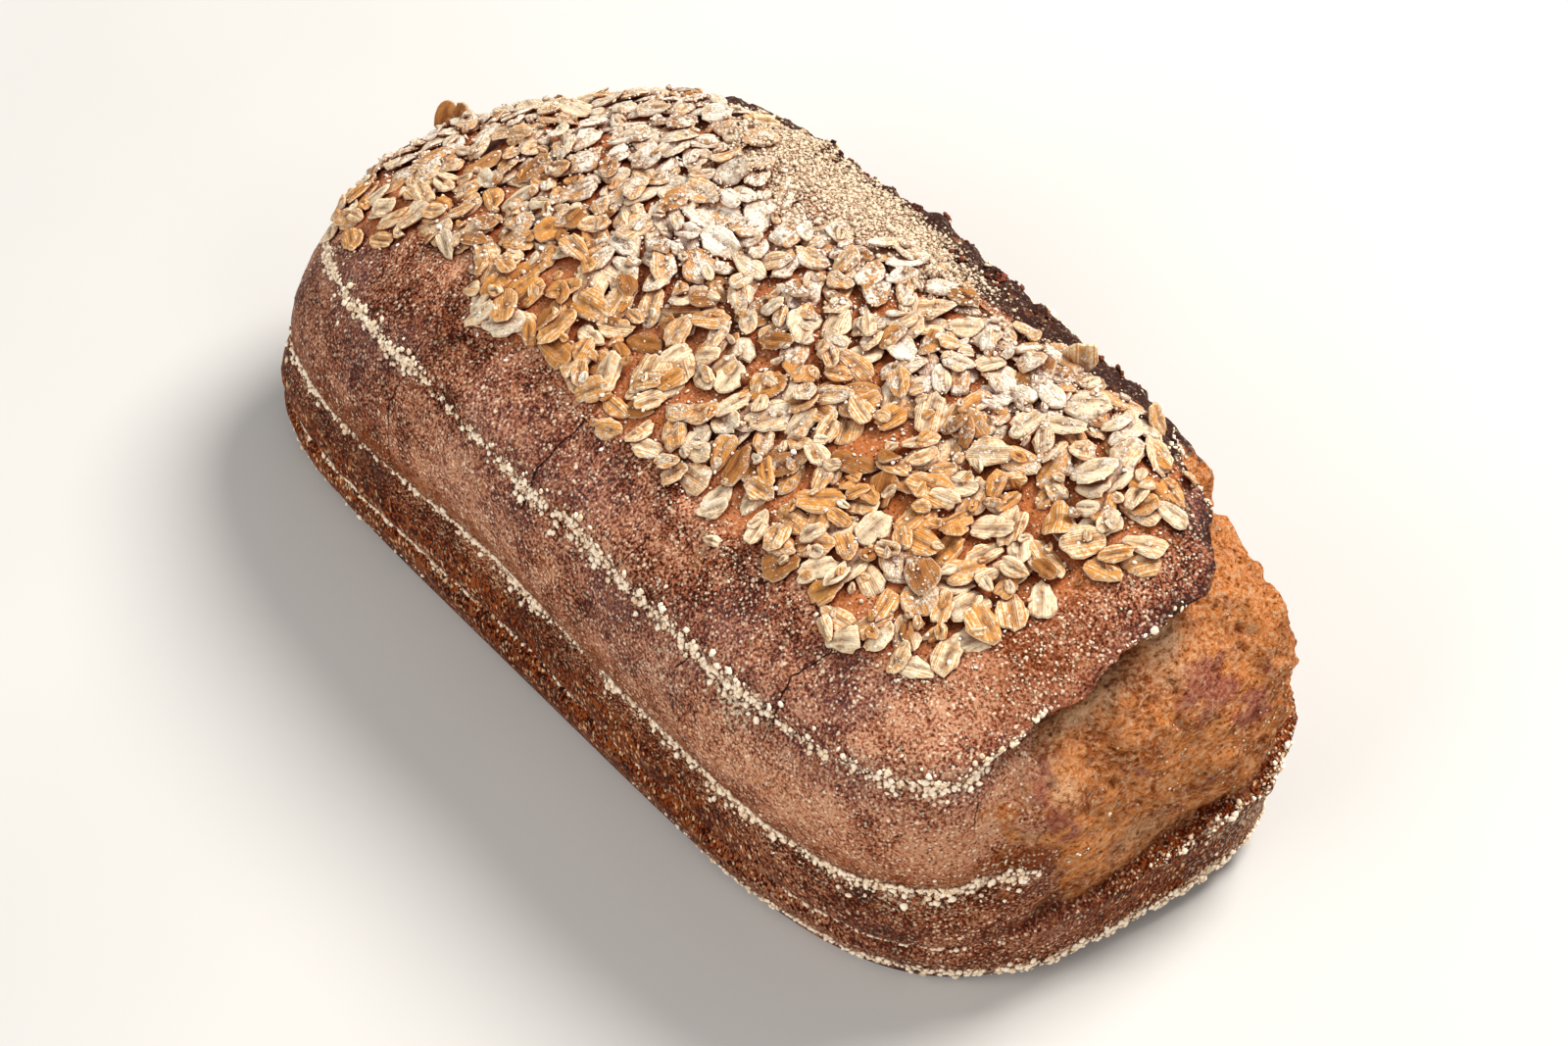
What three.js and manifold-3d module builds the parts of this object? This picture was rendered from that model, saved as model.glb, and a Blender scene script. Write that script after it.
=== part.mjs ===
// A long rye sourdough loaf, proved in a coiled-cane form and baked until it tore open at one end.
// Millimetres, +Z up. The loaf is longest along X and its torn end faces +X. It stands on its flat base,
// with the origin at the middle of the base. The rows of the form left three rings on its sides,
// and thick oat flakes lie all over its top, fused to the crust.

import * as THREE from 'three';
import { mergeVertices } from 'three/addons/utils/BufferGeometryUtils.js';
import Module from 'manifold-3d';

// Plan of the loaf at its widest
const HALF_LENGTH = 133.3;
const HALF_WIDTH = 66.8;

// Squareness of the plan, 2 for an ellipse and more for squarer corners: [at the base, at the top]
const SQUARENESS_PLAIN_END = [7.2, 2.2];
const SQUARENESS_TORN_END = [3.5, 5.1];

// Rings and edges of the side wall: height above the base, and distance in from the widest plan
const BASE_INSET = 4.7;
const FOOT = { height: 5, inset: 4.2 };
const RING_LOW = { height: 18.4, inset: 2.1 };
const RING_MIDDLE = { height: 43.2, inset: 2.7 };
const RING_HIGH = { height: 79.9, inset: 7.5 };
const SHOULDER = { height: 93.2, inset: 25.5 };
const CROWN_HEIGHT = 4;

// The creases that the form left at its rings, and the dough that swelled between them
const CREASE_DEPTH = 1.3;
const CREASE_REACH = 3;
const BAND_SWELL = 1.1;

// How the loaf leans and spreads: it is higher along its far side, lower at its plain end,
// where the top runs out in a rounded nose, and its ends are set a little aslant
const RISE_ALONG_X = -0.014;
const RISE_ALONG_Y = 0.119;
const PLAIN_END_DROP = 0.424;
const PLAIN_END_DROP_FAR_SIDE = 0.163;
const PLAIN_END_DROP_START = 0.237;
const PLAIN_END_FLARE = 0.816;
const PLAIN_END_NOSE = 10;
const PLAIN_END_SKEW = 9.5;
const TORN_END_SKEW = 11;
const SIDE_TURN = -0.018;

// The tear at the +X end: plan angles in degrees where it starts and is fully open, on each side
const TEAR_NEAR = { start: -19, full: -10 };
const TEAR_FAR = { start: 36, full: 25 };
const TEAR_LIP_HEIGHT = 24.4;
const TEAR_LIP_RISE = 9;
const TEAR_LIP_PROUD = 2.6;
const TEAR_GROOVE_DEPTH = 3.5;
const TEAR_BULGE = 1.2;
const FLAP_ABOVE_RING = 4.5;
const FLAP_RISE = 4.5;
const FLAP_THICKNESS = 4.4;
const FLAP_OVERHANG = 5.8;
const FLAP_HOLLOW = 5.2;

// Crags where crumb broke through the far shoulder, and a blister at the plain end:
// plan place, height and reach
const CRAGS = [
  { x: 0, y: 57, height: 3, reach: 5 },
  { x: 12, y: 58, height: 2.5, reach: 4 },
  { x: 36, y: 59, height: 2.5, reach: 4 },
  { x: -100, y: 12, height: 4, reach: 7 },
];

// Oat flakes
const FLAKE_COUNT = 160;
const FLAKE_LENGTH = { largest: 13.5, smallest: 9.5 };
const FLAKE_SLIMNESS = { narrow: 0.5, wide: 0.68 };
const FLAKE_THICKNESS = 2.6;
const FLAKE_RIM_POINTS = 8;
const FLAKE_TILT = 0.3;
const FLAKE_GAP = 0.62;
const PANEL = { left: -126, right: 113, near: -39, far: 41 };

// Fineness of the loaf's faces
const COLUMNS = 72;
const CROWN_RINGS = [0.84, 0.64, 0.42, 0.2];
const BAND_STEPS = { foot: 3, low: 4, middle: 5, high: 3 };

const { clamp, lerp, radToDeg, smoothstep } = THREE.MathUtils;

function seededRandom(seed) {
  let state = seed;
  return () => {
    state = (state + 0x6D2B79F5) | 0;
    let t = Math.imul(state ^ (state >>> 15), 1 | state);
    t = (t + Math.imul(t ^ (t >>> 7), 61 | t)) ^ t;
    return ((t ^ (t >>> 14)) >>> 0) / 2 ** 32;
  };
}

// Distance in from the widest plan at a height, smooth through the rings
function wallInset(height) {
  const stations = [{ height: 0, inset: BASE_INSET }, FOOT, RING_LOW, RING_MIDDLE, RING_HIGH, SHOULDER];
  const last = stations.length - 1;
  const slopeAt = (i) => {
    const a = stations[Math.max(i - 1, 0)];
    const b = stations[Math.min(i + 1, last)];
    return (b.inset - a.inset) / (b.height - a.height);
  };
  let i = 0;
  while (i < last - 1 && height > stations[i + 1].height) i += 1;
  const span = stations[i + 1].height - stations[i].height;
  const t = clamp((height - stations[i].height) / span, 0, 1);
  const rise = t * t * (3 - 2 * t);
  const easeOut = t * (1 - t) * (1 - t);
  const easeIn = t * t * (t - 1);
  return lerp(stations[i].inset, stations[i + 1].inset, rise)
    + span * (easeOut * slopeAt(i) + easeIn * slopeAt(i + 1));
}

// Heights of the rows of the wall, closer together beside each ring
function wallRows() {
  const rows = [{ height: 0, swell: 0 }];
  const bands = [
    [0, RING_LOW.height, BAND_STEPS.foot],
    [RING_LOW.height, RING_MIDDLE.height, BAND_STEPS.low],
    [RING_MIDDLE.height, RING_HIGH.height, BAND_STEPS.middle],
    [RING_HIGH.height, SHOULDER.height, BAND_STEPS.high],
  ];
  for (const [bottom, top, steps] of bands) {
    for (let i = 1; i <= steps; i += 1) {
      const part = (1 - Math.cos(Math.PI * i / steps)) / 2;
      rows.push({ height: lerp(bottom, top, part), swell: BAND_SWELL * Math.sin(Math.PI * part) });
    }
  }
  return rows;
}

function creaseAt(height) {
  let depth = 0;
  for (const ring of [RING_LOW, RING_MIDDLE, RING_HIGH]) {
    depth += CREASE_DEPTH * Math.exp(-(((height - ring.height) / CREASE_REACH) ** 2));
  }
  return depth;
}

// How far the tear is open at a plan angle, from 0 on the plain crust to 1
function tearOpening(angle) {
  const degrees = radToDeg(angle);
  return smoothstep(degrees, TEAR_NEAR.start, TEAR_NEAR.full)
    * (1 - smoothstep(degrees, TEAR_FAR.full, TEAR_FAR.start));
}

// The torn end's profile, row by row: a lip on the lower crust, a groove, the swollen crumb,
// the hollow under the flap and the flap's edge
function tornRows(angle) {
  const across = smoothstep(radToDeg(angle), TEAR_NEAR.start, TEAR_FAR.start);
  const ragged = Math.sin(angle * 23) * 0.8 + Math.sin(angle * 41 + 1) * 0.5;
  const lip = TEAR_LIP_HEIGHT + TEAR_LIP_RISE * across + ragged;
  const flap = RING_HIGH.height + FLAP_ABOVE_RING + FLAP_RISE * across + ragged * 0.6;
  const flapInset = wallInset(flap) - 1;
  const face = (part) => {
    const height = lerp(lip + 3, flap - FLAP_HOLLOW, part);
    const lean = (flapInset + FLAP_OVERHANG) * part ** 3;
    return { height, inset: lean - TEAR_BULGE * Math.sin(Math.PI * part) - ragged * 0.6 };
  };
  return [
    { height: 0, inset: BASE_INSET },
    { height: 5, inset: 0 },
    { height: lip * 0.7, inset: -1 },
    { height: lip, inset: -TEAR_LIP_PROUD },
    { height: lip + 2, inset: TEAR_GROOVE_DEPTH - TEAR_LIP_PROUD },
    face(0.16), face(0.34), face(0.5), face(0.64), face(0.78), face(0.9), face(1),
    { height: flap - 1, inset: flapInset + FLAP_OVERHANG },
    { height: flap, inset: flapInset },
    { height: flap + FLAP_THICKNESS / 2, inset: wallInset(flap + FLAP_THICKNESS / 2) - 1 },
    SHOULDER,
  ];
}

// A point of the plan: the outline of a rounded rectangle in the direction of an angle
function planPoint(angle, height, inset) {
  const part = clamp(height / SHOULDER.height, 0, 1);
  const cosine = Math.cos(angle);
  const sine = Math.sin(angle);
  const torn = cosine > 0;
  const [low, high] = torn ? SQUARENESS_TORN_END : SQUARENESS_PLAIN_END;
  const power = lerp(low, high, part);
  const halfLength = HALF_LENGTH - inset * (torn ? 1 : 1 - PLAIN_END_FLARE * part);
  const halfWidth = HALF_WIDTH - inset;
  const reach = (Math.abs(cosine / halfLength) ** power + Math.abs(sine / halfWidth) ** power) ** (-1 / power);
  return [reach * cosine, reach * sine];
}

// The lean, the lower plain end with its nose, and the slanted ends
function leanLoaf([x, y], height) {
  const u = x / HALF_LENGTH;
  const v = y / HALF_WIDTH;
  const towardsPlain = clamp((-u - PLAIN_END_DROP_START) / (1 - PLAIN_END_DROP_START), 0, 1) ** 2;
  const towardsTorn = clamp((u - 0.2) / 0.8, 0, 1) ** 2;
  const nose = PLAIN_END_NOSE * Math.max(0, 1 - v * v) * (height / SHOULDER.height) ** 2;
  const rise = 1 + RISE_ALONG_X * u + RISE_ALONG_Y * v
    - (PLAIN_END_DROP + PLAIN_END_DROP_FAR_SIDE * v) * towardsPlain;
  return new THREE.Vector3(
    x + TORN_END_SKEW * v * towardsTorn + (PLAIN_END_SKEW * v - nose) * towardsPlain,
    y + SIDE_TURN * x,
    height * rise,
  );
}

function wallPoint(angle, row, rowIndex) {
  const opening = tearOpening(angle);
  const torn = tornRows(angle)[rowIndex];
  const uneven = Math.sin(angle * 3 + 1) * 0.7 + Math.sin(angle * 7 + row.height / 15) * 0.5;
  const plainInset = wallInset(row.height) + creaseAt(row.height) - row.swell
    + uneven * Math.min(1, row.height / 20);
  const height = lerp(row.height, torn.height, opening);
  const inset = lerp(plainInset, torn.inset, opening);
  return leanLoaf(planPoint(angle, height, inset), height);
}

function crownPoint(angle, scale) {
  const [x, y] = planPoint(angle, SHOULDER.height, SHOULDER.inset);
  const height = SHOULDER.height + CROWN_HEIGHT * (1 - scale * scale)
    + 0.6 * Math.sin(x * scale / 19) * Math.cos(y * scale / 13);
  return leanLoaf([x * scale, y * scale], height);
}

function raiseCrags(point) {
  for (const crag of CRAGS) {
    const away = Math.hypot(point.x - crag.x, point.y - crag.y);
    if (point.z > RING_MIDDLE.height) point.z += crag.height * Math.exp(-((away / crag.reach) ** 2));
  }
  return point;
}

// Plan angles at even steps round the outline
function evenAngles() {
  const fine = COLUMNS * 20;
  const lengths = [0];
  let [lastX, lastY] = planPoint(0, RING_MIDDLE.height, 0);
  for (let i = 1; i <= fine; i += 1) {
    const [x, y] = planPoint(2 * Math.PI * i / fine, RING_MIDDLE.height, 0);
    lengths.push(lengths[i - 1] + Math.hypot(x - lastX, y - lastY));
    [lastX, lastY] = [x, y];
  }
  const angles = [];
  let i = 0;
  for (let column = 0; column < COLUMNS; column += 1) {
    const wanted = lengths[fine] * column / COLUMNS;
    while (lengths[i + 1] < wanted) i += 1;
    const part = (wanted - lengths[i]) / (lengths[i + 1] - lengths[i]);
    const angle = 2 * Math.PI * (i + part) / fine;
    angles.push(angle > Math.PI ? angle - 2 * Math.PI : angle);
  }
  return angles;
}

function closedGeometry(points, faces) {
  const geometry = new THREE.BufferGeometry();
  geometry.setAttribute('position', new THREE.Float32BufferAttribute(points.flatMap((p) => p.toArray()), 3));
  geometry.setIndex(faces.flat());
  return geometry;
}

function loafGeometry() {
  const angles = evenAngles();
  const rings = wallRows().map((row, index) => angles.map((angle) => wallPoint(angle, row, index)));
  for (const scale of CROWN_RINGS) rings.push(angles.map((angle) => crownPoint(angle, scale)));
  const points = rings.flat().map(raiseCrags);
  const faces = [];
  const next = (column) => (column + 1) % COLUMNS;
  for (let ring = 0; ring < rings.length - 1; ring += 1) {
    for (let column = 0; column < COLUMNS; column += 1) {
      const a = ring * COLUMNS + column;
      const b = ring * COLUMNS + next(column);
      faces.push([a, b, b + COLUMNS], [a, b + COLUMNS, a + COLUMNS]);
    }
  }
  const base = points.length;
  points.push(new THREE.Vector3(0, 0, 0));
  const crown = points.length;
  points.push(crownPoint(0, 0));
  const lastRing = (rings.length - 1) * COLUMNS;
  for (let column = 0; column < COLUMNS; column += 1) {
    faces.push([base, next(column), column], [crown, lastRing + column, lastRing + next(column)]);
  }
  return closedGeometry(points, faces);
}

// A rolled oat flake: a pointed oval with a thin rim, ridged along its middle and flat below
function flakeGeometry(length, width) {
  const rim = [];
  for (let i = 0; i < FLAKE_RIM_POINTS; i += 1) {
    const angle = 2 * Math.PI * i / FLAKE_RIM_POINTS;
    const blunt = 1 - 0.12 * Math.cos(angle);
    rim.push(new THREE.Vector3(length / 2 * Math.cos(angle), width / 2 * Math.sin(angle) * blunt, 0));
  }
  const ridge = [
    new THREE.Vector3(length * 0.24, 0, FLAKE_THICKNESS * 0.42),
    new THREE.Vector3(-length * 0.24, 0, FLAKE_THICKNESS * 0.42),
  ];
  const keel = new THREE.Vector3(0, 0, -FLAKE_THICKNESS * 0.58);
  const points = [...rim, ...ridge, keel];
  const [front, back, below] = [FLAKE_RIM_POINTS, FLAKE_RIM_POINTS + 1, FLAKE_RIM_POINTS + 2];
  const faces = [];
  for (let i = 0; i < FLAKE_RIM_POINTS; i += 1) {
    const j = (i + 1) % FLAKE_RIM_POINTS;
    const nearest = rim[i].x + rim[j].x > 0 ? front : back;
    faces.push([i, j, nearest], [j, i, below]);
    if (Math.abs(rim[j].x) < length * 0.05) faces.push(rim[j].y > 0 ? [j, back, front] : [j, front, back]);
  }
  return closedGeometry(points, faces);
}

// Places for the flakes: a low-discrepancy walk over the panel, so that they spread evenly,
// turned and tilted by seeded draws, and kept where the next one stands clear
function flakePlaces(loaf) {
  const random = seededRandom(7);
  const caster = new THREE.Raycaster();
  const down = new THREE.Vector3(0, 0, -1);
  const places = [];
  for (let i = 0; places.length < FLAKE_COUNT && i < FLAKE_COUNT * 4; i += 1) {
    const across = (0.5 + 0.7548776662 * i) % 1;
    const along = (0.5 + 0.5698402910 * i) % 1;
    const size = random();
    const turn = Math.PI * random();
    const slim = random();
    const tilt = [random() - 0.5, random() - 0.5];
    const y = lerp(PANEL.near, PANEL.far, across);
    const edge = 3 * Math.sin(y / 9) + 0.12 * y;
    const x = lerp(PANEL.left + 2 * Math.abs(y) ** 2 / 90, PANEL.right + edge, along);
    const length = lerp(FLAKE_LENGTH.smallest, FLAKE_LENGTH.largest, size * size);
    const width = length * lerp(FLAKE_SLIMNESS.narrow, FLAKE_SLIMNESS.wide, slim);
    const clear = places.every((other) => Math.hypot(x - other.x, y - other.y)
      > FLAKE_GAP * (length + other.length) / 2);
    if (!clear) continue;
    caster.set(new THREE.Vector3(x, y, 2 * SHOULDER.height), down);
    const [hit] = caster.intersectObject(loaf);
    if (!hit || hit.face.normal.z < 0.35) continue;
    places.push({ x, y, length, width, turn, tilt, point: hit.point, normal: hit.face.normal.clone() });
  }
  return places;
}

const wasm = await Module();
wasm.setup();

function toSolid(geometry) {
  const merged = mergeVertices(geometry, 1e-4);
  return new wasm.Manifold(new wasm.Mesh({
    numProp: 3,
    vertProperties: merged.getAttribute('position').array,
    triVerts: new Uint32Array(merged.getIndex().array),
  }));
}

function toGeometry(solid) {
  const mesh = solid.getMesh();
  const geometry = new THREE.BufferGeometry();
  geometry.setAttribute('position', new THREE.BufferAttribute(mesh.vertProperties, 3));
  geometry.setIndex(new THREE.BufferAttribute(mesh.triVerts, 1));
  return geometry;
}

function makeLoaf() {
  const bare = loafGeometry();
  bare.computeVertexNormals();
  let solid = toSolid(bare);
  const up = new THREE.Vector3(0, 0, 1);
  for (const place of flakePlaces(new THREE.Mesh(bare))) {
    const flake = flakeGeometry(place.length, place.width);
    const lie = new THREE.Quaternion().setFromUnitVectors(up, place.normal);
    lie.multiply(new THREE.Quaternion().setFromEuler(
      new THREE.Euler(place.tilt[0] * FLAKE_TILT, place.tilt[1] * FLAKE_TILT, place.turn, 'ZYX'),
    ));
    flake.applyQuaternion(lie);
    const rest = place.point.clone().addScaledVector(place.normal, FLAKE_THICKNESS * 0.2);
    flake.translate(rest.x, rest.y, rest.z);
    solid = solid.add(toSolid(flake));
  }
  const geometry = toGeometry(solid);
  geometry.computeBoundingBox();
  const middle = geometry.boundingBox.getCenter(new THREE.Vector3());
  geometry.translate(-middle.x, -middle.y, -geometry.boundingBox.min.z);
  const crust = new THREE.MeshStandardMaterial({ color: 0x8f5b3c, roughness: 0.7, metalness: 0 });
  const loaf = new THREE.Mesh(geometry, crust);
  loaf.name = 'loaf';
  return loaf;
}

const bread = new THREE.Group();
bread.add(makeLoaf());

export default bread;
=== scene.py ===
import itertools
import math

import bpy
import numpy as np
from mathutils import Matrix, Vector
from mathutils.bvhtree import BVHTree


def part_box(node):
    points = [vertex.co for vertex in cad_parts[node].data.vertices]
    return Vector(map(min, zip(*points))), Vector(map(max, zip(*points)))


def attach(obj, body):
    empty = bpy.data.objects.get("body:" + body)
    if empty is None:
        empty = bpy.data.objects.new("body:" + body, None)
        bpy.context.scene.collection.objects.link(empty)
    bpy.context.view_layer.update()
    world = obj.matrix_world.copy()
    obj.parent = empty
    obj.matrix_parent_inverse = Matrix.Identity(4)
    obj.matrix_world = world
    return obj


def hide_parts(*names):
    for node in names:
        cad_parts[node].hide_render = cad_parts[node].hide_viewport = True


# A long rye sourdough loaf: ring-marked brown crust, a torn end, and toasted oat flakes on top.
# Sizes are millimetres in the loaf's own plan until to_metres() puts them in the frame.

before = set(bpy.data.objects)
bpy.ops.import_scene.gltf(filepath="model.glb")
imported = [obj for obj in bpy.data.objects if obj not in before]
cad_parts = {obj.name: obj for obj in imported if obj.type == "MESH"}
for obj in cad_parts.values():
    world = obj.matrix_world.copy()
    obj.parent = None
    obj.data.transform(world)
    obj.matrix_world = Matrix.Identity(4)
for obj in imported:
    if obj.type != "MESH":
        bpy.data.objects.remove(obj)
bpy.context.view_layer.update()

# Plan of the loaf at its widest, and how square it is at the base and at the top
HALF_LENGTH = 133.3
HALF_WIDTH = 66.8
SQUARENESS_PLAIN_END = (7.2, 2.2)
SQUARENESS_TORN_END = (3.5, 5.1)

# The side wall, as (height, distance in from the widest plan)
BASE = (0, 4.7)
FOOT = (5, 4.2)
RING_LOW = (18.4, 2.1)
RING_MIDDLE = (43.2, 2.7)
RING_HIGH = (79.9, 7.5)
SHOULDER = (93.2, 25.5)
CROWN_HEIGHT = 4
CREASE_DEPTH = 1.3
CREASE_REACH = 3
BAND_SWELL = 1.1

# The lean and the ends
RISE_ALONG_X = -0.014
RISE_ALONG_Y = 0.119
PLAIN_END_DROP = 0.424
PLAIN_END_DROP_FAR_SIDE = 0.163
PLAIN_END_DROP_START = 0.237
PLAIN_END_FLARE = 0.816
PLAIN_END_NOSE = 10
PLAIN_END_SKEW = 9.5
TORN_END_SKEW = 11
SIDE_TURN = -0.018

# The tear at the +X end, in degrees of plan angle and millimetres
TEAR_NEAR = (-19, -10)
TEAR_FAR = (36, 25)
TEAR_LIP_HEIGHT = 24.4
TEAR_LIP_RISE = 9
TEAR_LIP_PROUD = 2.6
TEAR_GROOVE_DEPTH = 3.5
TEAR_BULGE = 1.2
FLAP_ABOVE_RING = 4.5
FLAP_RISE = 4.5
FLAP_THICKNESS = 4.4
FLAP_OVERHANG = 5.8
FLAP_HOLLOW = 5.2

# Crags where crumb broke through the far shoulder, and a blister at the plain end: x, y, height, reach
CRAGS = ((0, 57, 3, 5), (12, 58, 2.5, 4), (36, 59, 2.5, 4), (-100, 12, 4, 7))

# Rows of the wall's profile: the first row of each band between two rings, and how finely
# each step between two rows is divided
BAND_ROWS = (0, 3, 7, 12, 15)
ROW_DIVISIONS = (5, 9, 6, 5, 9, 9, 8, 8, 9, 11, 9, 5, 6, 11, 12)
TORN_FACE_PARTS = (0.16, 0.34, 0.5, 0.64, 0.78, 0.9, 1)
COLUMNS = 600
TORN_END_FINENESS = 0.8
CROWN_RINGS = 33
BASE_RINGS = (0.97, 0.6)

# Rings of flour that the form left: the row each follows on the wall and on the torn end, its
# half width, how much flour it has, and the clumps (more) and gaps (less) along it in degrees
RINGS = (
    {
        "row": 12.0, "torn_row": 13.2, "width": 1.9, "flour": 0.85, "seed": 80, "lumps": 6000,
        "clumps": (
            (-148, 8, 0.35), (-134, 4.5, -0.7), (-118, 10, -0.3), (-96.5, 1.6, -0.9), (-42, 4, 0.6),
            (-37.2, 0.7, -0.9), (-24, 6, 0.25), (-18.5, 1, -0.4), (-14, 3, 0.5), (-3, 7.5, -1.15),
            (4, 1.6, 0.3), (16, 10, -0.95), (95, 12, -0.4),
        ),
    },
    {
        "row": 7.0, "torn_row": 6.1, "width": 1.8, "flour": 0.95, "seed": 82, "lumps": 4600,
        "clumps": (
            (-154, 8, 0.5), (-139, 7, -0.8), (-95, 18, -0.3), (-44, 9, 0.6), (-18, 5, 0.2),
            (1, 12, -1.4), (14, 8, -0.6), (27, 9, -1.2), (120, 15, -0.3),
        ),
    },
    {
        "row": 3.0, "torn_row": 3, "width": 1.3, "flour": 0.4, "seed": 84, "lumps": 3000,
        "clumps": (
            (-145, 10, 0.5), (-125, 8, 0.15), (-100, 8, -0.2), (-78, 3, 0.3), (-50, 22, -0.45),
            (-7, 9, -0.5), (10, 6, 0.25), (100, 25, -0.2),
        ),
    },
    {
        "row": 1.15, "torn_row": 1.15, "width": 1.5, "flour": 0.35, "seed": 86, "lumps": 3200,
        "clumps": ((-100, 55, -0.4), (-20, 24, 1.1), (10, 14, 0.5), (30, 30, 0.2)),
    },
)

# How far the rings' lines waver, as noise: (height, size, seed)
RING_WAVER = (0.9, 14, 40)

# Unevenness in layers of noise, each as (height, size, seed): the crust's relief, how light it is,
# and the edge of the tear in degrees
CRUST_LAYERS = ((0.55, 30, 1), (0.32, 12, 2), (0.17, 5.5, 3), (0.11, 2.6, 4))
TONE_LAYERS = ((0.16, 38, 50), (0.17, 15, 51), (0.13, 6, 52))
TEAR_EDGE_LAYERS = ((4.5, 16, 31), (3, 7, 32), (1.5, 3, 33))

# Numbers that stir a cell's place and a seed into a random number
STIR_AXES = (73856093, 19349663, 83492791)
STIR_SEED = 2654435
STIR_ROUNDS = ((15, 2246822519), (13, 1274126177))
LOW_32_BITS = 0xFFFFFFFF
LOW_24_BITS = 0xFFFFFF

# Flour rubbed off beside the rings: plan angle, row, reach in degrees, strength
SMEARS = ((-43.5, 11.4, 2.6, 0.6), (-57, 10.2, 3.5, 0.25), (-24, 6.2, 3, 0.2), (16, 2, 9, 0.3))

# Coarse meal scattered on the crust, and crags torn out of the far shoulder. Each area says:
# plan angles, rows, how many and how large
MEAL = {
    "areas": (
        (100, 146, 13.0, 14.6, 2300, 0.8),
        (60, 104, 13.6, 15.6, 1500, 0.8),
        (22, 66, 13.2, 15.8, 600, 0.7),
        (142, 162, 13.3, 15.6, 400, 0.7),
        (-180, 180, 2, 14.5, 1700, 0.42),
        (-60, 0, 13.4, 15.8, 800, 0.5),
        (-160, -60, 14, 16, 400, 0.5),
        (-10, 20, 13.6, 15.5, 500, 0.55),
        (-4, 20, 4.3, 8, 200, 0.5),
    ),
    "clusters": ((1, 9, 43), (0.7, 3, 44)), "chance": (-0.7, 0.8), "evenness": 6, "tones": (0.05, 0.8),
}
CRAG_LUMPS = {
    "areas": ((16, 128, 12.3, 13.7, 1500, 1.3),),
    "clusters": ((1, 8, 46), (0.6, 3, 47)), "chance": (-0.2, 0.9), "evenness": 5, "tones": (0, 1),
}

# Cracks in the crust: width, then (plan angle, row) from the oats downwards
CRACK_GROOVE = 0.9
CRACK_THROUGH = 7
CRACKS = (
    (0.46, (-106.5, 14.5), (-105, 13.2), (-103.1, 10.9)),
    (0.32, (-143.3, 13.6), (-139.7, 12.3), (-136.9, 10), (-135.7, 7.6)),
    (0.32, (-156, 14), (-152.8, 13.2)),
    (0.26, (-67.8, 13.7), (-72, 13), (-75, 11.6)),
    (0.34, (-49.7, 13), (-54.2, 10.8)),
    (0.34, (-27, 15), (-34.5, 13.6), (-37, 12.7), (-38.6, 10.8)),
    (0.3, (-16.6, 10.6), (-17.3, 10.1)),
    (0.3, (62, 13.4), (58, 11)),
    (0.4, (112, 13.6), (116, 10.4)),
)

# Patches of the torn crumb: plan angle, row, reach in degrees and in rows, strength
CRUMB_SKIN = (
    (10, 8.6, 4, 0.9, 1), (13.5, 7, 3, 0.8, 0.9), (-9.3, 9.2, 1.8, 0.9, 1), (-10, 8.2, 2.2, 0.9, 0.8),
    (-8.5, 7, 2.6, 0.6, 0.7), (0, 7.4, 3, 0.5, 0.5), (6, 5.4, 3, 0.4, 0.5),
)
CRUMB_FIBRES = (
    (7.5, 10.2, 2.4, 0.7, 0.8), (-7.2, 8.6, 1.2, 0.45, 0.8), (-11.6, 10, 1.4, 0.7, 0.9),
    (-3, 10.2, 5, 0.45, 0.8), (-12.4, 6.5, 0.9, 1.4, 0.6), (-13.5, 3.7, 3, 0.5, 0.8), (-1, 5.1, 3, 0.4, 0.5),
)
# Orange patches of the crumb, some brightened with painted light where it faces down
CRUMB_ORANGE_AND_PAINTED_LIGHT = (
    (20, 9.2, 6, 1.8, 1), (26, 11, 6, 1.5, 1), (-5, 8.9, 3, 0.4, 0.6), (2, 8.9, 3, 0.8, 0.4),
    (-6, 6.2, 5, 1.2, 0.9), (5, 6.6, 4, 1, 0.7),
)
CRUMB_DEEP = (
    (19.5, 7.8, 2.2, 0.6, 0.75), (-4.8, 8, 1.8, 0.6, 0.65), (-3.2, 6.8, 2.4, 0.35, 0.5),
    (7, 5.6, 2, 0.45, 0.5), (2.5, 9.6, 2, 0.35, 0.45), (15, 10.4, 1.6, 0.3, 0.5),
)

# The part of the top that the oats cover, in the loaf's plan
PANEL = {"plain": 137, "torn": 104.5, "near": -40, "near_step": 9, "far": 42}
FIELD = ((-144, -54), (128, 58))
FIELD_STEP = 0.6

# Where flakes are tried along x and y: (start, span, the part of the span from one try to the next).
# These two parts spread the tries evenly over the plan
FLAKE_SPREAD = ((-137, 253.5, 0.7548776662), (-43, 95, 0.5698402910))

# Oat flakes: (how many, shortest, longest, points round the rim, rings of points)
FLAKE_BATCHES = ((440, 8.2, 11.8, 22, 4), (200, 6, 8.4, 16, 4), (280, 2.4, 5, 10, 3))
FLAKE_TRIES = 6
FLAKE_SLIMNESS = (0.5, 0.8)
FLAKE_THICKNESS = (0.7, 1.2)
FLAKE_LEAN = 0.45
FLAKE_EDGE_ANGLE = 32
FLAKE_REST = 93
FEWEST_CELLS = 6
FLAKE_JITTER = 1.5
STRAND_SHIFT = 900
STACK_LIMIT = 3.2
STEEPEST = 1.6

# The patch of meal on the top's far side, and the crumbs of oats among the flakes
MEAL_PATCH = {
    "east": (-66, 42), "north": (22, 56), "count": 12800,
    "evenness": 5, "size": 0.75, "limits": (0.35, 1.4), "tones": (0.1, 1),
}
PANEL_CRUMBS = {
    "east": (-137, 110.5), "north": (-44, 47), "count": 17000,
    "evenness": 3.4, "size": 0.527, "limits": (0.28, 1.7), "tones": (0, 1),
}

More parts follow.
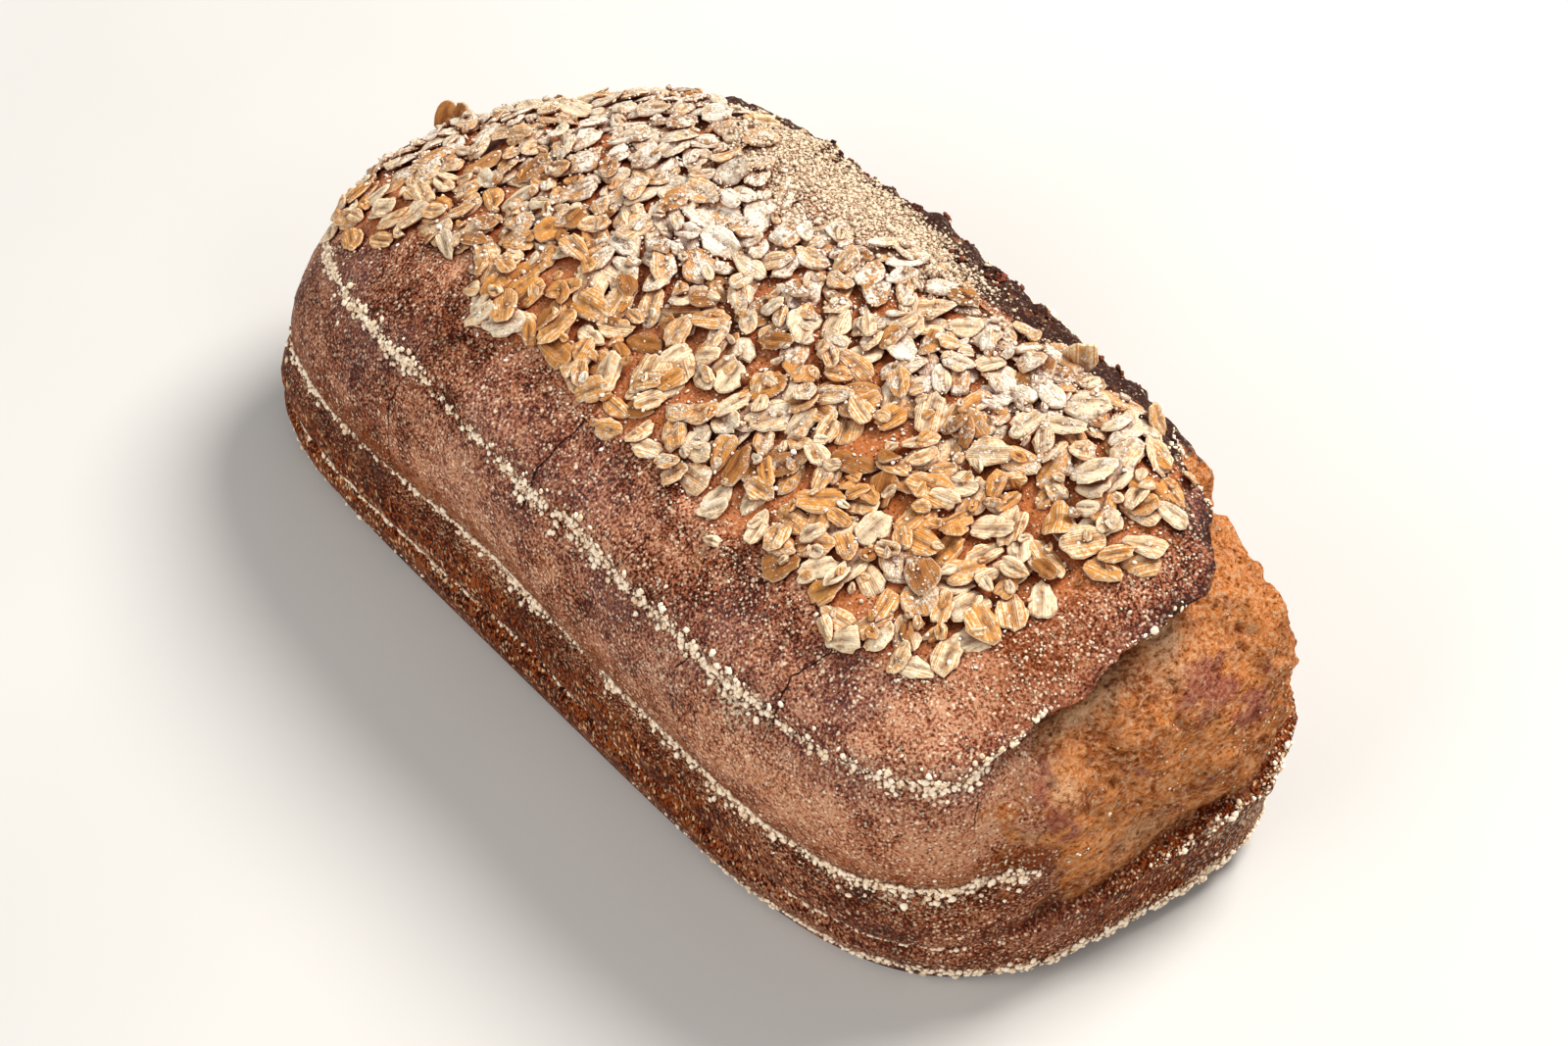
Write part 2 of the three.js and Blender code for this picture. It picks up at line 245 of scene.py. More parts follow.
# Single flakes apart from the rest: place in the plan, length, width, the way that they face
# and how far they lean back, in degrees, and tone
STRAYS = (
    (60, 46, 9.5, 8, -38, 8, 0.5),
    (82.5, 49, 9, 6, 20, 24, 0.4),
    (-134.5, 8, 9, 7, -60, 52, 0.05),
    (-133, 11, 8, 6.5, -100, 30, 0.03),
    (-52, 50.5, 10.5, 6, 65, 62, 0.6),
)

# Colours, as they look on screen
CRUST_DARK = "340e02"
CRUST_MIDDLE = "a05c40"
CRUST_PALE = "d49e7a"
CRUST_SPECK = "fde2c2"
# Painted sheen on the crust, a mauve reflection
CRUST_SHEEN_PURPLE = "66464a"
CRUST_ORANGE = "7e3a08"
CRUST_LOW = "b67e46"
SPECK_LOW = "ffd4a0"
CRUST_BURNT = "38241e"
# Painted shade, multiplied into the colours deep in gaps
GAP_SHADE = "a4562a"
OATS_BED = "bc6c36"
CRAG_DARK = "2a1310"
CRAG_PALE = "82432f"
CRACK_SHADE = "34140c"
CRUMB_ORANGE = "f0914a"
CRUMB_BROWN = "bb642e"
CRUMB_RED = "b2624e"
CRUMB_TAN = "f2c598"
# The crumb's pits, and the painted shade under the flap and behind the lower lip
CRUMB_PIT_AND_SHADE = "4e1c0a"
FLOUR = "fff0d6"
FLOUR_DEEP = "dcb98c"
MEAL_PALE = "e8d5b8"
MEAL_DEEP = "a98c6a"
OAT_CRUMB = "cda87c"
OAT_PALE = "fde9c4"
OAT_TOASTED = "d8913f"
OAT_BROWN = "7c441c"
OAT_CREASE = "6c3812"
OAT_DUST = "fff4e2"
FLOOR = "d0cdc8"
FLOOR_DEEP = "cbc8c3"

# The floor and the lights, in metres: each light's name, place, size, power and colour
FLOOR_HALF_SIDE = 4
LIGHTS = (
    ("key", (0.15, 0.95, 1.25), 0.7, 35, (1, 0.98, 0.95)),
    ("fill", (-0.2, -1.3, 0.9), 1.3, 12.5, (1, 0.98, 0.96)),
    ("end_fill", (1.4, -0.3, 0.7), 1.0, 6, (1, 1, 1)),
)
LIGHTS_AIM = (0, 0, 0.04)
SKY = (0.95, 0.97, 1)
SKY_STRENGTH = 0.33

# The camera, in the loaf's plan: turned from the front, raised, rolled, and its distance and offsets
CAMERA_AZIMUTH = 50.55
CAMERA_ELEVATION = 49.04
CAMERA_ROLL = -1.88
CAMERA_DISTANCE = 924.4
CAMERA_AIM_HEIGHT = 40
CAMERA_ASIDE = 5.05
CAMERA_RAISED = -7.84
CAMERA_LENS_PIXELS = 3900
CAMERA_NEAREST = 0.05
PICTURE_WIDTH = 1600
SENSOR_WIDTH = 36

# Scatters the lumps, in the order in which the pieces are made, and the oat flakes
random = np.random.default_rng(11)
flake_random = np.random.default_rng(7)


def ease(value, start, end):
    """A smooth step from 0 at the start to 1 at the end, which may lie the other way round."""
    part = np.clip((value - start) / (end - start), 0, 1)
    return part * part * (3 - 2 * part)


def wall_inset(height):
    """Distance in from the widest plan at a height, smooth through the rings."""
    heights, insets = np.array([BASE, FOOT, RING_LOW, RING_MIDDLE, RING_HIGH, SHOULDER], float).T
    last = len(heights) - 1
    below = np.maximum(np.arange(last + 1) - 1, 0)
    above = np.minimum(np.arange(last + 1) + 1, last)
    slopes = (insets[above] - insets[below]) / (heights[above] - heights[below])
    i = np.clip(np.searchsorted(heights, height) - 1, 0, last - 1)
    span = heights[i + 1] - heights[i]
    t = np.clip((height - heights[i]) / span, 0, 1)
    blend = insets[i] + (insets[i + 1] - insets[i]) * t * t * (3 - 2 * t)
    return blend + span * (t * (1 - t) ** 2 * slopes[i] + t * t * (t - 1) * slopes[i + 1])


def band_rows(row):
    """Height and swell of the plain wall at a row, which may lie between two whole ones."""
    band = np.clip(np.searchsorted(BAND_ROWS, row, side="right") - 1, 0, len(BAND_ROWS) - 2)
    first, last = np.array(BAND_ROWS)[band], np.array(BAND_ROWS)[band + 1]
    part = (1 - np.cos(np.pi * (row - first) / (last - first))) / 2
    ends = np.array([0, RING_LOW[0], RING_MIDDLE[0], RING_HIGH[0], SHOULDER[0]], float)
    return ends[band] + (ends[band + 1] - ends[band]) * part, BAND_SWELL * np.sin(np.pi * part)


def tear_opening(angle):
    """How far the tear is open at a plan angle, from 0 on the plain crust to 1."""
    degrees = np.degrees(angle)
    return ease(degrees, *TEAR_NEAR) * ease(degrees, *TEAR_FAR)


def torn_rows(angle):
    """The torn end's profile, row by row: a lip on the lower crust, a groove, the swollen crumb,
    the hollow under the flap and the flap's edge."""
    across = ease(np.degrees(angle), TEAR_NEAR[0], TEAR_FAR[0])
    ragged = np.sin(angle * 23) * 0.8 + np.sin(angle * 41 + 1) * 0.5
    lip = TEAR_LIP_HEIGHT + TEAR_LIP_RISE * across + ragged
    flap = RING_HIGH[0] + FLAP_ABOVE_RING + FLAP_RISE * across + ragged * 0.6
    flap_inset = wall_inset(flap) - 1
    edge = flap + FLAP_THICKNESS / 2
    none = np.zeros_like(angle)
    rows = [
        (none, none + BASE[1]),
        (none + 5, none),
        (lip * 0.7, none - 1),
        (lip, none - TEAR_LIP_PROUD),
        (lip + 2, none + TEAR_GROOVE_DEPTH - TEAR_LIP_PROUD),
    ]
    for part in TORN_FACE_PARTS:
        height = lip + 3 + (flap - FLAP_HOLLOW - lip - 3) * part
        lean = (flap_inset + FLAP_OVERHANG) * part**3
        rows.append((height, lean - TEAR_BULGE * np.sin(np.pi * part) - ragged * 0.6))
    rows += [
        (flap - 1, flap_inset + FLAP_OVERHANG),
        (flap, flap_inset),
        (edge, wall_inset(edge) - 1),
        (none + SHOULDER[0], none + SHOULDER[1]),
    ]
    return np.array(rows).transpose(1, 0, 2)


def plan_point(angle, height, inset):
    """A point of the plan: the outline of a rounded rectangle in the direction of an angle."""
    part = np.clip(height / SHOULDER[0], 0, 1)
    cosine, sine = np.cos(angle), np.sin(angle)
    torn = cosine > 0
    low = np.where(torn, SQUARENESS_TORN_END[0], SQUARENESS_PLAIN_END[0])
    high = np.where(torn, SQUARENESS_TORN_END[1], SQUARENESS_PLAIN_END[1])
    power = low + (high - low) * part
    half_length = HALF_LENGTH - inset * np.where(torn, 1, 1 - PLAIN_END_FLARE * part)
    half_width = HALF_WIDTH - inset
    reach = (np.abs(cosine / half_length) ** power + np.abs(sine / half_width) ** power) ** (-1 / power)
    return reach * cosine, reach * sine


def lean_loaf(x, y, height):
    """The lean, the lower plain end with its nose, and the slanted ends."""
    u, v = x / HALF_LENGTH, y / HALF_WIDTH
    towards_plain = np.clip((-u - PLAIN_END_DROP_START) / (1 - PLAIN_END_DROP_START), 0, 1) ** 2
    towards_torn = np.clip((u - 0.2) / 0.8, 0, 1) ** 2
    nose = PLAIN_END_NOSE * np.clip(1 - v * v, 0, None) * (height / SHOULDER[0]) ** 2
    drop = PLAIN_END_DROP + PLAIN_END_DROP_FAR_SIDE * v
    rise = 1 + RISE_ALONG_X * u + RISE_ALONG_Y * v - drop * towards_plain
    slant = TORN_END_SKEW * v * towards_torn + (PLAIN_END_SKEW * v - nose) * towards_plain
    return np.stack([x + slant, y + SIDE_TURN * x, height * rise], -1)


def raise_crags(points):
    for x, y, height, reach in CRAGS:
        away = np.hypot(points[..., 0] - x, points[..., 1] - y)
        points[..., 2] += height * window(away, 0, reach) * (points[..., 2] > RING_MIDDLE[0])
    return points


def column_angles():
    """Plan angles round the outline, closer together at the torn end."""
    fine = np.linspace(-np.pi, np.pi, COLUMNS * 20 + 1)
    x, y = plan_point(fine, RING_MIDDLE[0], 0)
    steps = np.hypot(np.diff(x), np.diff(y))
    steps *= 1 + TORN_END_FINENESS * ease(x[1:], 0.75 * HALF_LENGTH, 0.9 * HALF_LENGTH)
    lengths = np.concatenate([[0], np.cumsum(steps)])
    return np.interp(np.linspace(0, lengths[-1], COLUMNS, endpoint=False), lengths, fine)


def torn_profile(angles, rows):
    """The torn end's heights and insets at the fine rows, with its corners slightly rounded."""
    whole = np.arange(len(ROW_DIVISIONS) + 1)
    rounded = []
    for table in torn_rows(angles):
        fine = np.array([np.interp(rows, whole, column) for column in table.T]).T
        padded = np.pad(fine, ((1, 1), (0, 0)), mode="edge")
        rounded.append((padded[:-2] + 2 * padded[1:-1] + padded[2:]) / 4)
    return rounded


def wall_points(angles, rows):
    """Grid of the wall, one line of points for each row, with their heights before the lean."""
    opening = tear_opening(angles)
    torn_heights, torn_insets = torn_profile(angles, rows)
    plain_heights, swell = band_rows(rows)
    height = plain_heights[:, None] + np.zeros_like(angles)
    uneven = np.sin(angles * 3 + 1) * 0.7 + np.sin(angles * 7 + height / 15) * 0.5
    rings = (RING_LOW, RING_MIDDLE, RING_HIGH)
    creases = sum(CREASE_DEPTH * window(height, level, CREASE_REACH) for level, inset in rings)
    plain_insets = wall_inset(height) + creases - swell[:, None]
    plain_insets += uneven * np.minimum(1, height / 20)
    height = height + (torn_heights - height) * opening
    inset = plain_insets + (torn_insets - plain_insets) * opening
    return raise_crags(lean_loaf(*plan_point(angles, height, inset), height)), height


def crown_points(angles, scales):
    """Grid of the top, one line of points for each scale of the shoulder's outline, with their heights."""
    x, y = (side * scales[:, None] for side in plan_point(angles, SHOULDER[0], SHOULDER[1]))
    wave = 0.6 * np.sin(x / 19) * np.cos(y / 13)
    height = SHOULDER[0] + CROWN_HEIGHT * (1 - scales[:, None] ** 2) + wave
    return raise_crags(lean_loaf(x, y, height)), height


def lattice(cells, seed):
    """A repeatable random number from 0 to 1 for each whole-numbered cell."""
    with np.errstate(over="ignore"):
        x, y, z = (cells[..., axis] * factor for axis, factor in enumerate(STIR_AXES))
        mixed = (x ^ y ^ z ^ (seed * STIR_SEED)) & LOW_32_BITS
        for shift, factor in STIR_ROUNDS:
            mixed = ((mixed ^ (mixed >> shift)) * factor) & LOW_32_BITS
    return ((mixed ^ (mixed >> 16)) & LOW_24_BITS) / LOW_24_BITS


def noise(points, size, seed=0):
    """Smooth noise from -1 to 1 whose humps are about as wide as size."""
    place = points / size
    cell = np.floor(place).astype(np.int64)
    part = place - cell
    part = part**3 * (part * (part * 6 - 15) + 10)
    total = np.zeros(points.shape[:-1])
    for corner in itertools.product((0, 1), repeat=3):
        weight = np.prod(np.where(corner, part, 1 - part), axis=-1)
        total += weight * lattice(cell + np.array(corner), seed)
    return total * 2 - 1


def layers(points, *terms):
    """Noises of several sizes added up, each given as (height, size, seed)."""
    return sum(height * noise(points, size, seed) for height, size, seed in terms)


def on_plan(x, y):
    """Points of the plan, for noise that is the same at every height."""
    return np.stack([x, y, 0 * x], -1)


def cells(points, size, seed=0):
    """Distance to the nearest of scattered spots, in spot spacings, and that spot's random number."""
    place = points / size
    cell = np.floor(place).astype(np.int64)
    nearest = np.full(points.shape[:-1], 9.0)
    own = np.zeros(points.shape[:-1])
    for step in itertools.product((-1, 0, 1), repeat=3):
        other = cell + np.array(step)
        middle = other + np.stack([lattice(other, seed + k) for k in (1, 2, 3)], -1)
        away = np.linalg.norm(place - middle, axis=-1)
        own = np.where(away < nearest, lattice(other, seed + 4), own)
        nearest = np.minimum(away, nearest)
    return nearest, own


def to_metres(points):
    """Millimetres of the loaf's plan to metres of the frame."""
    return (points - SHIFT) / 1000


def add_object(name, data):
    thing = bpy.data.objects.new(name, data)
    bpy.context.scene.collection.objects.link(thing)
    return thing


def add_mesh(name, points, faces, material):
    mesh = bpy.data.meshes.new(name)
    mesh.from_pydata(points, [], faces)
    mesh.materials.append(material)
    return add_object(name, mesh)


def new_piece(name, points, faces, material):
    """A smooth mesh from points in millimetres, riding on the loaf's one body."""
    piece = add_mesh(name, to_metres(points).tolist(), faces, material)
    mesh = piece.data
    mesh.polygons.foreach_set("use_smooth", [True] * len(mesh.polygons))
    mesh.validate()
    mesh.update()
    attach(piece, "root")
    return piece


def set_values(piece, **values):
    """Keeps a number for each point of the mesh, for its material to read."""
    for name, numbers in values.items():
        attribute = piece.data.attributes.new(name, "FLOAT", "POINT")
        attribute.data.foreach_set("value", np.asarray(numbers, np.float32).ravel())


class Surface:
    """The loaf's crust as a closed grid: rings of points from the middle of the base to the crown's."""

    def __init__(self):
        self.angles = column_angles()
        self.columns = np.degrees(self.angles)
        starts = [np.arange(parts) / parts + row for row, parts in enumerate(ROW_DIVISIONS)]
        rows = np.concatenate([*starts, [len(ROW_DIVISIONS)]])
        scales = np.linspace(1, 0, CROWN_RINGS + 2)[1:-1]
        wall, wall_height = wall_points(self.angles, rows)
        crown, crown_height = crown_points(self.angles, scales)
        under = [wall[0] * [scale, scale, 1] for scale in sorted(BASE_RINGS)]
        flat = np.zeros((len(under), COLUMNS))
        self.points = np.concatenate([under, wall, crown])
        self.height = np.concatenate([flat, wall_height, crown_height])
        self.lines = np.concatenate([np.full(len(under), -1.0), rows, rows[-1] + 1 - scales])
        self.row = self.lines[:, None] + flat[0]
        self.degrees = self.columns + 0 * self.row
        self.opening = tear_opening(self.angles) + 0 * self.row
        steps = np.linalg.norm(np.diff(self.points, axis=0), axis=-1)
        self.climb = np.concatenate([flat[:1], np.cumsum(steps, axis=0)])
        self.top = crown_points(self.angles[:1], np.zeros(1))[0][0]
        self.outward = self.normals()

    def all_points(self):
        return np.concatenate([np.zeros((1, 3)), self.points.reshape(-1, 3), self.top])

    def faces(self):
        column = np.arange(COLUMNS)
        ring = 1 + COLUMNS * np.arange(len(self.points))[:, None]
        a, b = ring + column, ring + np.roll(column, -1)
        sides = np.stack([a[:-1], b[:-1], b[1:], a[1:]], -1).reshape(-1, 4)
        base = np.stack([0 * column, b[0], a[0]], 1)
        crown = np.stack([0 * column + a[-1, -1] + 1, a[-1], b[-1]], 1)
        return sides.tolist() + base.tolist() + crown.tolist()

    def normals(self):
        round_about = np.roll(self.points, -1, axis=1) - np.roll(self.points, 1, axis=1)
        outward = np.cross(round_about, np.gradient(self.points, axis=0))
        return outward / (np.linalg.norm(outward, axis=-1, keepdims=True) + 1e-9)

    def swell(self, distance):
        """Moves every point of the grid along its normal."""
        self.points += self.normals() * distance[..., None]
        self.outward = self.normals()

    def climb_of(self, rows):
        """Distance up the wall of one row for each column."""
        return np.array([np.interp(row, self.lines, climb) for row, climb in zip(rows, self.climb.T)])

    def column(self, degrees):
        """The grid's column at plan angles, which may lie between two whole ones."""
        return np.interp(degrees, self.columns, np.arange(COLUMNS))

    def row_off(self, degrees, rows, distances):
        """The rows that lie a distance above others at plan angles."""
        climbs = self.climb.T[self.column(degrees).round().astype(int) % COLUMNS]
        found = [
            np.interp(np.interp(row, self.lines, climb) + distance, climb, self.lines)
            for row, distance, climb in zip(rows, distances, climbs)
        ]
        return np.array(found)

    def place(self, degrees, row):
        """Point and normal of the loaf at plan angles and rows, between the grid's own lines."""
        column = self.column(degrees)
        line = np.interp(row, self.lines, np.arange(len(self.points)))
        c, r = np.floor(column).astype(int), np.minimum(np.floor(line).astype(int), len(self.points) - 2)
        s, t = (column - c)[:, None], (line - r)[:, None]
        after = (c + 1) % COLUMNS
        low = self.points[r, c] * (1 - s) + self.points[r, after] * s
        high = self.points[r + 1, c] * (1 - s) + self.points[r + 1, after] * s
        return low * (1 - t) + high * t, self.outward[r, c]


def window(value, middle, reach):
    """A soft bump of height 1 round a value."""
    return np.exp(-(((value - middle) / reach) ** 2))


def ring_strength(ring, degrees, points):
    """How much flour lies along a ring at each plan angle: even, with gaps and clumps."""
    strength = ring["flour"] + 0 * degrees
    for middle, reach, more in ring["clumps"]:
        strength += more * window(degrees, middle, reach)
    strength *= 1 + layers(points, (0.55, 9, ring["seed"]), (0.75, 3.5, ring["seed"] + 1))
    return np.clip(strength, 0, 1.6)


def torn_mask(loaf):
    """1 on the torn crumb and 0 on the crust, with a gradual edge on the near side."""
    degrees = loaf.degrees + layers(loaf.points, *TEAR_EDGE_LAYERS)
    opening = ease(degrees, -15, -6) * ease(degrees, 38, 32)
    return opening * ease(loaf.row, 3.6, 4.4) * ease(loaf.row, 12.9, 12.3)


def relief(loaf, torn):
    """Height of the crust's and the crumb's unevenness."""
    p, degrees, row, height = loaf.points, loaf.degrees, loaf.row, loaf.height
    crust = layers(p, *CRUST_LAYERS) + 0.16 * noise(p / [1, 1, 3.5], 3.2, 5) * ease(height, 60, 30)
    spot, own = cells(p, 11, 6)
    crust += 0.5 * ease(spot, 0.42, 0.1) * (own > 0.62)
    rough = 1 - 0.65 * patch_strength(loaf, CRUMB_SKIN)
    crumb = 1.8 * noise(p, 14, 7) + rough * (0.8 * noise(p, 5.5, 8) + 0.6 * noise(p / [1, 1, 0.6], 2.2, 9))
    hole, own = cells(p, 6, 10)
    crumb -= 1.3 * ease(hole, 0.36, 0.12) * (own > 0.6)
    crumb -= 2.6 * window(row, 11.1, 0.8) * ease(degrees, 14, 0)
    crumb += ease(degrees, 14, 22) * layers(p, (1.3, 4.5, 15), (0.9, 2, 16))
    lip = (window(row, 3, 0.5) + window(row, 13, 0.45)) * loaf.opening
    ragged = lip * layers(p, (0.9, 4, 11), (0.6, 1.9, 12))
    far = ease(p[..., 1], 44, 52) * ease(height, 60, 80)
    craggy = far * layers(p, (0.8, 7, 13), (1.2, 2.8, 14))
    standing = ease(p[..., 2], 0.3, 5)
    return standing * (crust * (1 - torn) + crumb * torn + ragged + craggy)


def crack_parts(loaf):
    """Each straight part of every crack: its width, start, direction, side and the crust's normal."""
    parts = []
    for width, *knots in CRACKS:
        places, normals = loaf.place(*np.array(knots, float).T)
        for start, end, normal in zip(places, places[1:], normals):
            along = end - start
            side = np.cross(normal, along) / np.linalg.norm(along)
            parts.append((width, start, along, side, normal))
    return parts


def crack_depth(points, parts):
    depth = np.zeros(points.shape[:-1])
    for width, start, along, side, normal in parts:
        away = points - start
        part = away @ along / (along @ along)
        near = (np.abs(away @ normal) < CRACK_THROUGH) & (part > 0) & (part < 1)
        depth = np.maximum(depth, near * width * CRACK_GROOVE * window(away @ side, 0, 0.9))
    return depth


def ring_row(ring, degrees):
    """The row that a ring follows: along the crease, then along the torn end's own edge."""
    opening = tear_opening(np.radians(degrees))
    return ring["row"] + (ring["torn_row"] - ring["row"]) * opening


def ring_distance(loaf, ring):
    """Distance up the wall from a ring's wavering line."""
    rows = ring_row(ring, loaf.degrees[0])
    return loaf.climb - loaf.climb_of(rows) - layers(loaf.points, RING_WAVER)


def flour_on_crust(loaf):
    """Where flour whitens the crust: along the rings, and in smears that rubbed off beside them."""
    p, degrees = loaf.points, loaf.degrees
    flour = np.zeros(degrees.shape)
    for ring in RINGS:
        away = np.abs(ring_distance(loaf, ring))
        strength = ring_strength(ring, degrees, p)
        reach = ring["width"] * (0.6 + 0.6 * strength)
        flour = np.maximum(flour, 0.75 * ease(away, reach, 0.2 * reach) * strength)
        flour = np.maximum(flour, 0.17 * window(away, 0, 5.5) * np.minimum(strength, 1))
    for middle, row, reach, strength in SMEARS:
        flour += strength * window(degrees, middle, reach) * window(loaf.row, row, 0.8)
    meal = meal_patch(p[..., 0], p[..., 1]) * ease(loaf.height, 82, 89)
    flour = np.maximum(flour, 0.62 * meal)
    return np.clip(flour, 0, 1.3)


def patch_strength(loaf, patches):
    """How far each point lies within any of several patches with uneven edges."""
    degrees = loaf.degrees + layers(loaf.points, (1.5, 8, 90), (0.7, 3.5, 92))
    row = loaf.row + 0.45 * noise(loaf.points, 6, 91)
    strength = 0 * degrees
    for middle, level, reach, rows, most in patches:
        strength = np.maximum(strength, most * window(degrees, middle, reach) * window(row, level, rows))
    return strength


def oats_bed(loaf):
    """1 on the crust among the oats."""
    p = loaf.points
    inside = panel_edges(p[..., 0], p[..., 1]) + 2 * noise(p, 7, 54)
    return ease(inside, -1, 6) * ease(loaf.height, 84, 90)


def crust_painted_sheen(loaf):
    """How much painted sheen makes the crust mauve and hazy: along the high ring and in patches beside the
    oats.
    """
    p = loaf.points
    mauve = 0.8 * window(ring_distance(loaf, RINGS[0]), -3, 7) * (0.55 + 0.8 * noise(p, 19, 55))
    mauve += 0.6 * window(loaf.row, 13, 1.2) * ease(noise(p, 17, 56), -0.1, 0.4)
    return np.clip(mauve + 0.35 * ease(noise(p, 21, 57), 0.1, 0.5), 0, 0.9)


def crust_tone(loaf):
    """0 where the crust is darkest, 1 where it is palest, with painted shade on the near side's lower wall
    and on the plain end.
    """
    p, degrees, row, height = loaf.points, loaf.degrees, loaf.row, loaf.height
    x, y = p[..., 0], p[..., 1]
    near = ease(degrees, 0, -20)
    tone = 0.58 + layers(p, *TONE_LAYERS)
    # Painted shade on the lower wall of the near side
    tone -= 0.2 * ease(row, 7.2, 6) * near
    for ring in RINGS[:2]:
        tone -= 0.16 * window(ring_distance(loaf, ring), 0, 5) * (0.6 + 0.6 * noise(p, 24, 53))
    tone -= 0.08 * window(row, 12.6, 1.2) * ease(x, 20, -90)
    # Painted shade on the plain end, between the middle and the high ring
    tone -= 0.26 * (ease(x, -40, -110) * ease(row, 12, 10)) * ease(row, 6.5, 7.5)
    tone -= 0.08 * window(y, -45, 7) * ease(height, 80, 88)
    tone += 0.22 * window(row, 9.5, 1.6) * ease(x, 40, 100)
    tone += 0.12 * ease(row, 12.3, 13) * ease(x, 40, 90) * near
    tone -= 0.9 * ease(y, 41, 48) * ease(height + 9 * noise(p, 16, 58), 58, 86)
    tone += 0.1 * oats_bed(loaf)
    flap = loaf.opening * ease(row, 12.2, 13)
    tone -= flap * (0.3 * ease(degrees, 2, 18) + 0.12 * window(row, 13.2, 0.4))
    tone -= 0.14 * ease(degrees, -8, 4) * ease(row, 3.6, 2.8)
    return np.clip(tone, 0, 1)


def crust_warmth(loaf):
    """1 where the crust is orange-brown: just above the middle ring, and at the flap's near end."""
    p = loaf.points
    band = window(ring_distance(loaf, RINGS[1]), 5, 5) * (0.95 + 0.6 * noise(p, 20, 60))
    front = 0.3 * ease(loaf.degrees, -40, -20) * ease(loaf.row, 12, 9)
    bump = window(np.hypot(p[..., 0] + 130, p[..., 1] - 9), 0, 8)
    flap = 0.55 * loaf.opening * ease(loaf.row, 12.2, 13) * ease(loaf.degrees, 9, -4)
    return np.clip(np.maximum.reduce([band, front, bump, flap]), 0, 1)


def crust_painted_shade_and_dark_patches(loaf):
    """Painted shade, 1 in the hollow under the flap and in the groove behind the lower lip, and the crumb's
    own darkest patches.
    """
    hollow = ease(loaf.row, 10.2, 10.75) * ease(loaf.row, 12.6, 12)
    hollow *= ease(loaf.degrees, 11, 3) * ease(loaf.degrees, -17, -12)
    groove = 0.6 * window(loaf.row, 4.1, 0.5)
    dark = (hollow + groove) * loaf.opening + patch_strength(loaf, CRUMB_DEEP)
    return np.clip(dark, 0, 1)


def crust_low(loaf):
    """1 on the darker band under the middle ring, a little less towards the torn end."""
    front = ease(loaf.degrees, -55, -22) * ease(loaf.degrees, 2, -8)
    return ease(loaf.height, 50, 34) * (1 - 0.6 * front)


# The corners of a lump, those of an icosahedron of radius 1, and a length just over its edge's
GOLDEN = 1.618
LUMP_REACH = 1.902
LUMP_CORNERS = [np.roll([0, s, t * GOLDEN], -k) for k in range(3) for s in (-1, 1) for t in (-1, 1)]
LUMP = np.array(LUMP_CORNERS) / LUMP_REACH
LUMP_EDGE = 1.06
# How small and large lumps on the crust are, and how far their middles stand off it, for their size
LUMP_SIZES = (0.35, 1.9)
LUMP_RISE = 0.18


def lump_faces():
    """The twenty triangles of the lump, each facing out."""
    faces = []
    for corners in itertools.combinations(range(len(LUMP)), 3):
        around = LUMP[list(corners)]
        if np.linalg.norm(around - np.roll(around, 1, axis=0), axis=1).max() < LUMP_EDGE:
            faces.append(corners if np.linalg.det(around) > 0 else corners[::-1])
    return np.array(faces)


def make_lumps(name, material, places, normals, sizes, tones):
    """Many rough lumps in one piece, each pressed a little flat against what it lies on."""
    count = len(places)
    frames = np.linalg.qr(random.normal(size=(count, 3, 3)))[0]
    shape = LUMP[None] * (1 + random.uniform(-0.3, 0.3, (count, len(LUMP), 1)))
    shape = shape * random.uniform(0.6, 1.2, (count, 1, 3))
    shape = np.einsum("nij,nkj->nki", frames, shape) * sizes[:, None, None] / 2
    depth = np.einsum("nki,ni->nk", shape, normals)
    shape -= 0.3 * depth[..., None] * normals[:, None]
    points = (shape + places[:, None]).reshape(-1, 3)
    points[:, 2] = np.maximum(points[:, 2], 0)
    mirrored = np.linalg.det(frames) < 0
    faces = np.repeat(lump_faces()[None], count, axis=0)
    faces[mirrored] = faces[mirrored][:, :, ::-1]
    faces = faces + np.arange(count)[:, None, None] * len(LUMP)
    piece = new_piece(name, points, faces.reshape(-1, 3).tolist(), material)
    set_values(piece, tone=np.repeat(tones, len(LUMP)))


def lumps_on_crust(loaf, degrees, rows, sizes, tones):
    """Places, normals, sizes and tones of lumps that lie at plan angles and rows of the crust."""
    sizes = np.clip(sizes, *LUMP_SIZES)
    places, normals = loaf.place(degrees, rows)
    places += normals * sizes[:, None] * LUMP_RISE
    clear = places[:, 2] > 0.3 * sizes
    return places[clear], normals[clear], sizes[clear], tones[clear]


def ring_lumps(loaf):
    groups = []
    for ring in RINGS:
        line = loaf.points[np.argmin(np.abs(loaf.lines - ring["row"]))]
        lengths = np.append(0, np.cumsum(np.linalg.norm(np.diff(line, axis=0), axis=1)))
        where = np.interp(random.uniform(0, lengths[-1], ring["lumps"]), lengths, loaf.columns)
        row = ring_row(ring, where)
        line = loaf.place(where, row)[0]
        strength = ring_strength(ring, where, line)
        offset = random.laplace(0, 0.44, len(where)) * ring["width"] * (0.6 + 0.6 * strength)
        row = loaf.row_off(where, row, offset + layers(line, RING_WAVER))
        kept = random.random(len(where)) < strength
        size = random.gamma(3, 0.38, len(where)) * (0.6 + 0.4 * strength)
        groups.append((where[kept], row[kept], size[kept]))
    degrees, rows, sizes = (np.concatenate(group) for group in zip(*groups))
    return lumps_on_crust(loaf, degrees, rows, sizes, random.uniform(0.25, 1, len(sizes)))


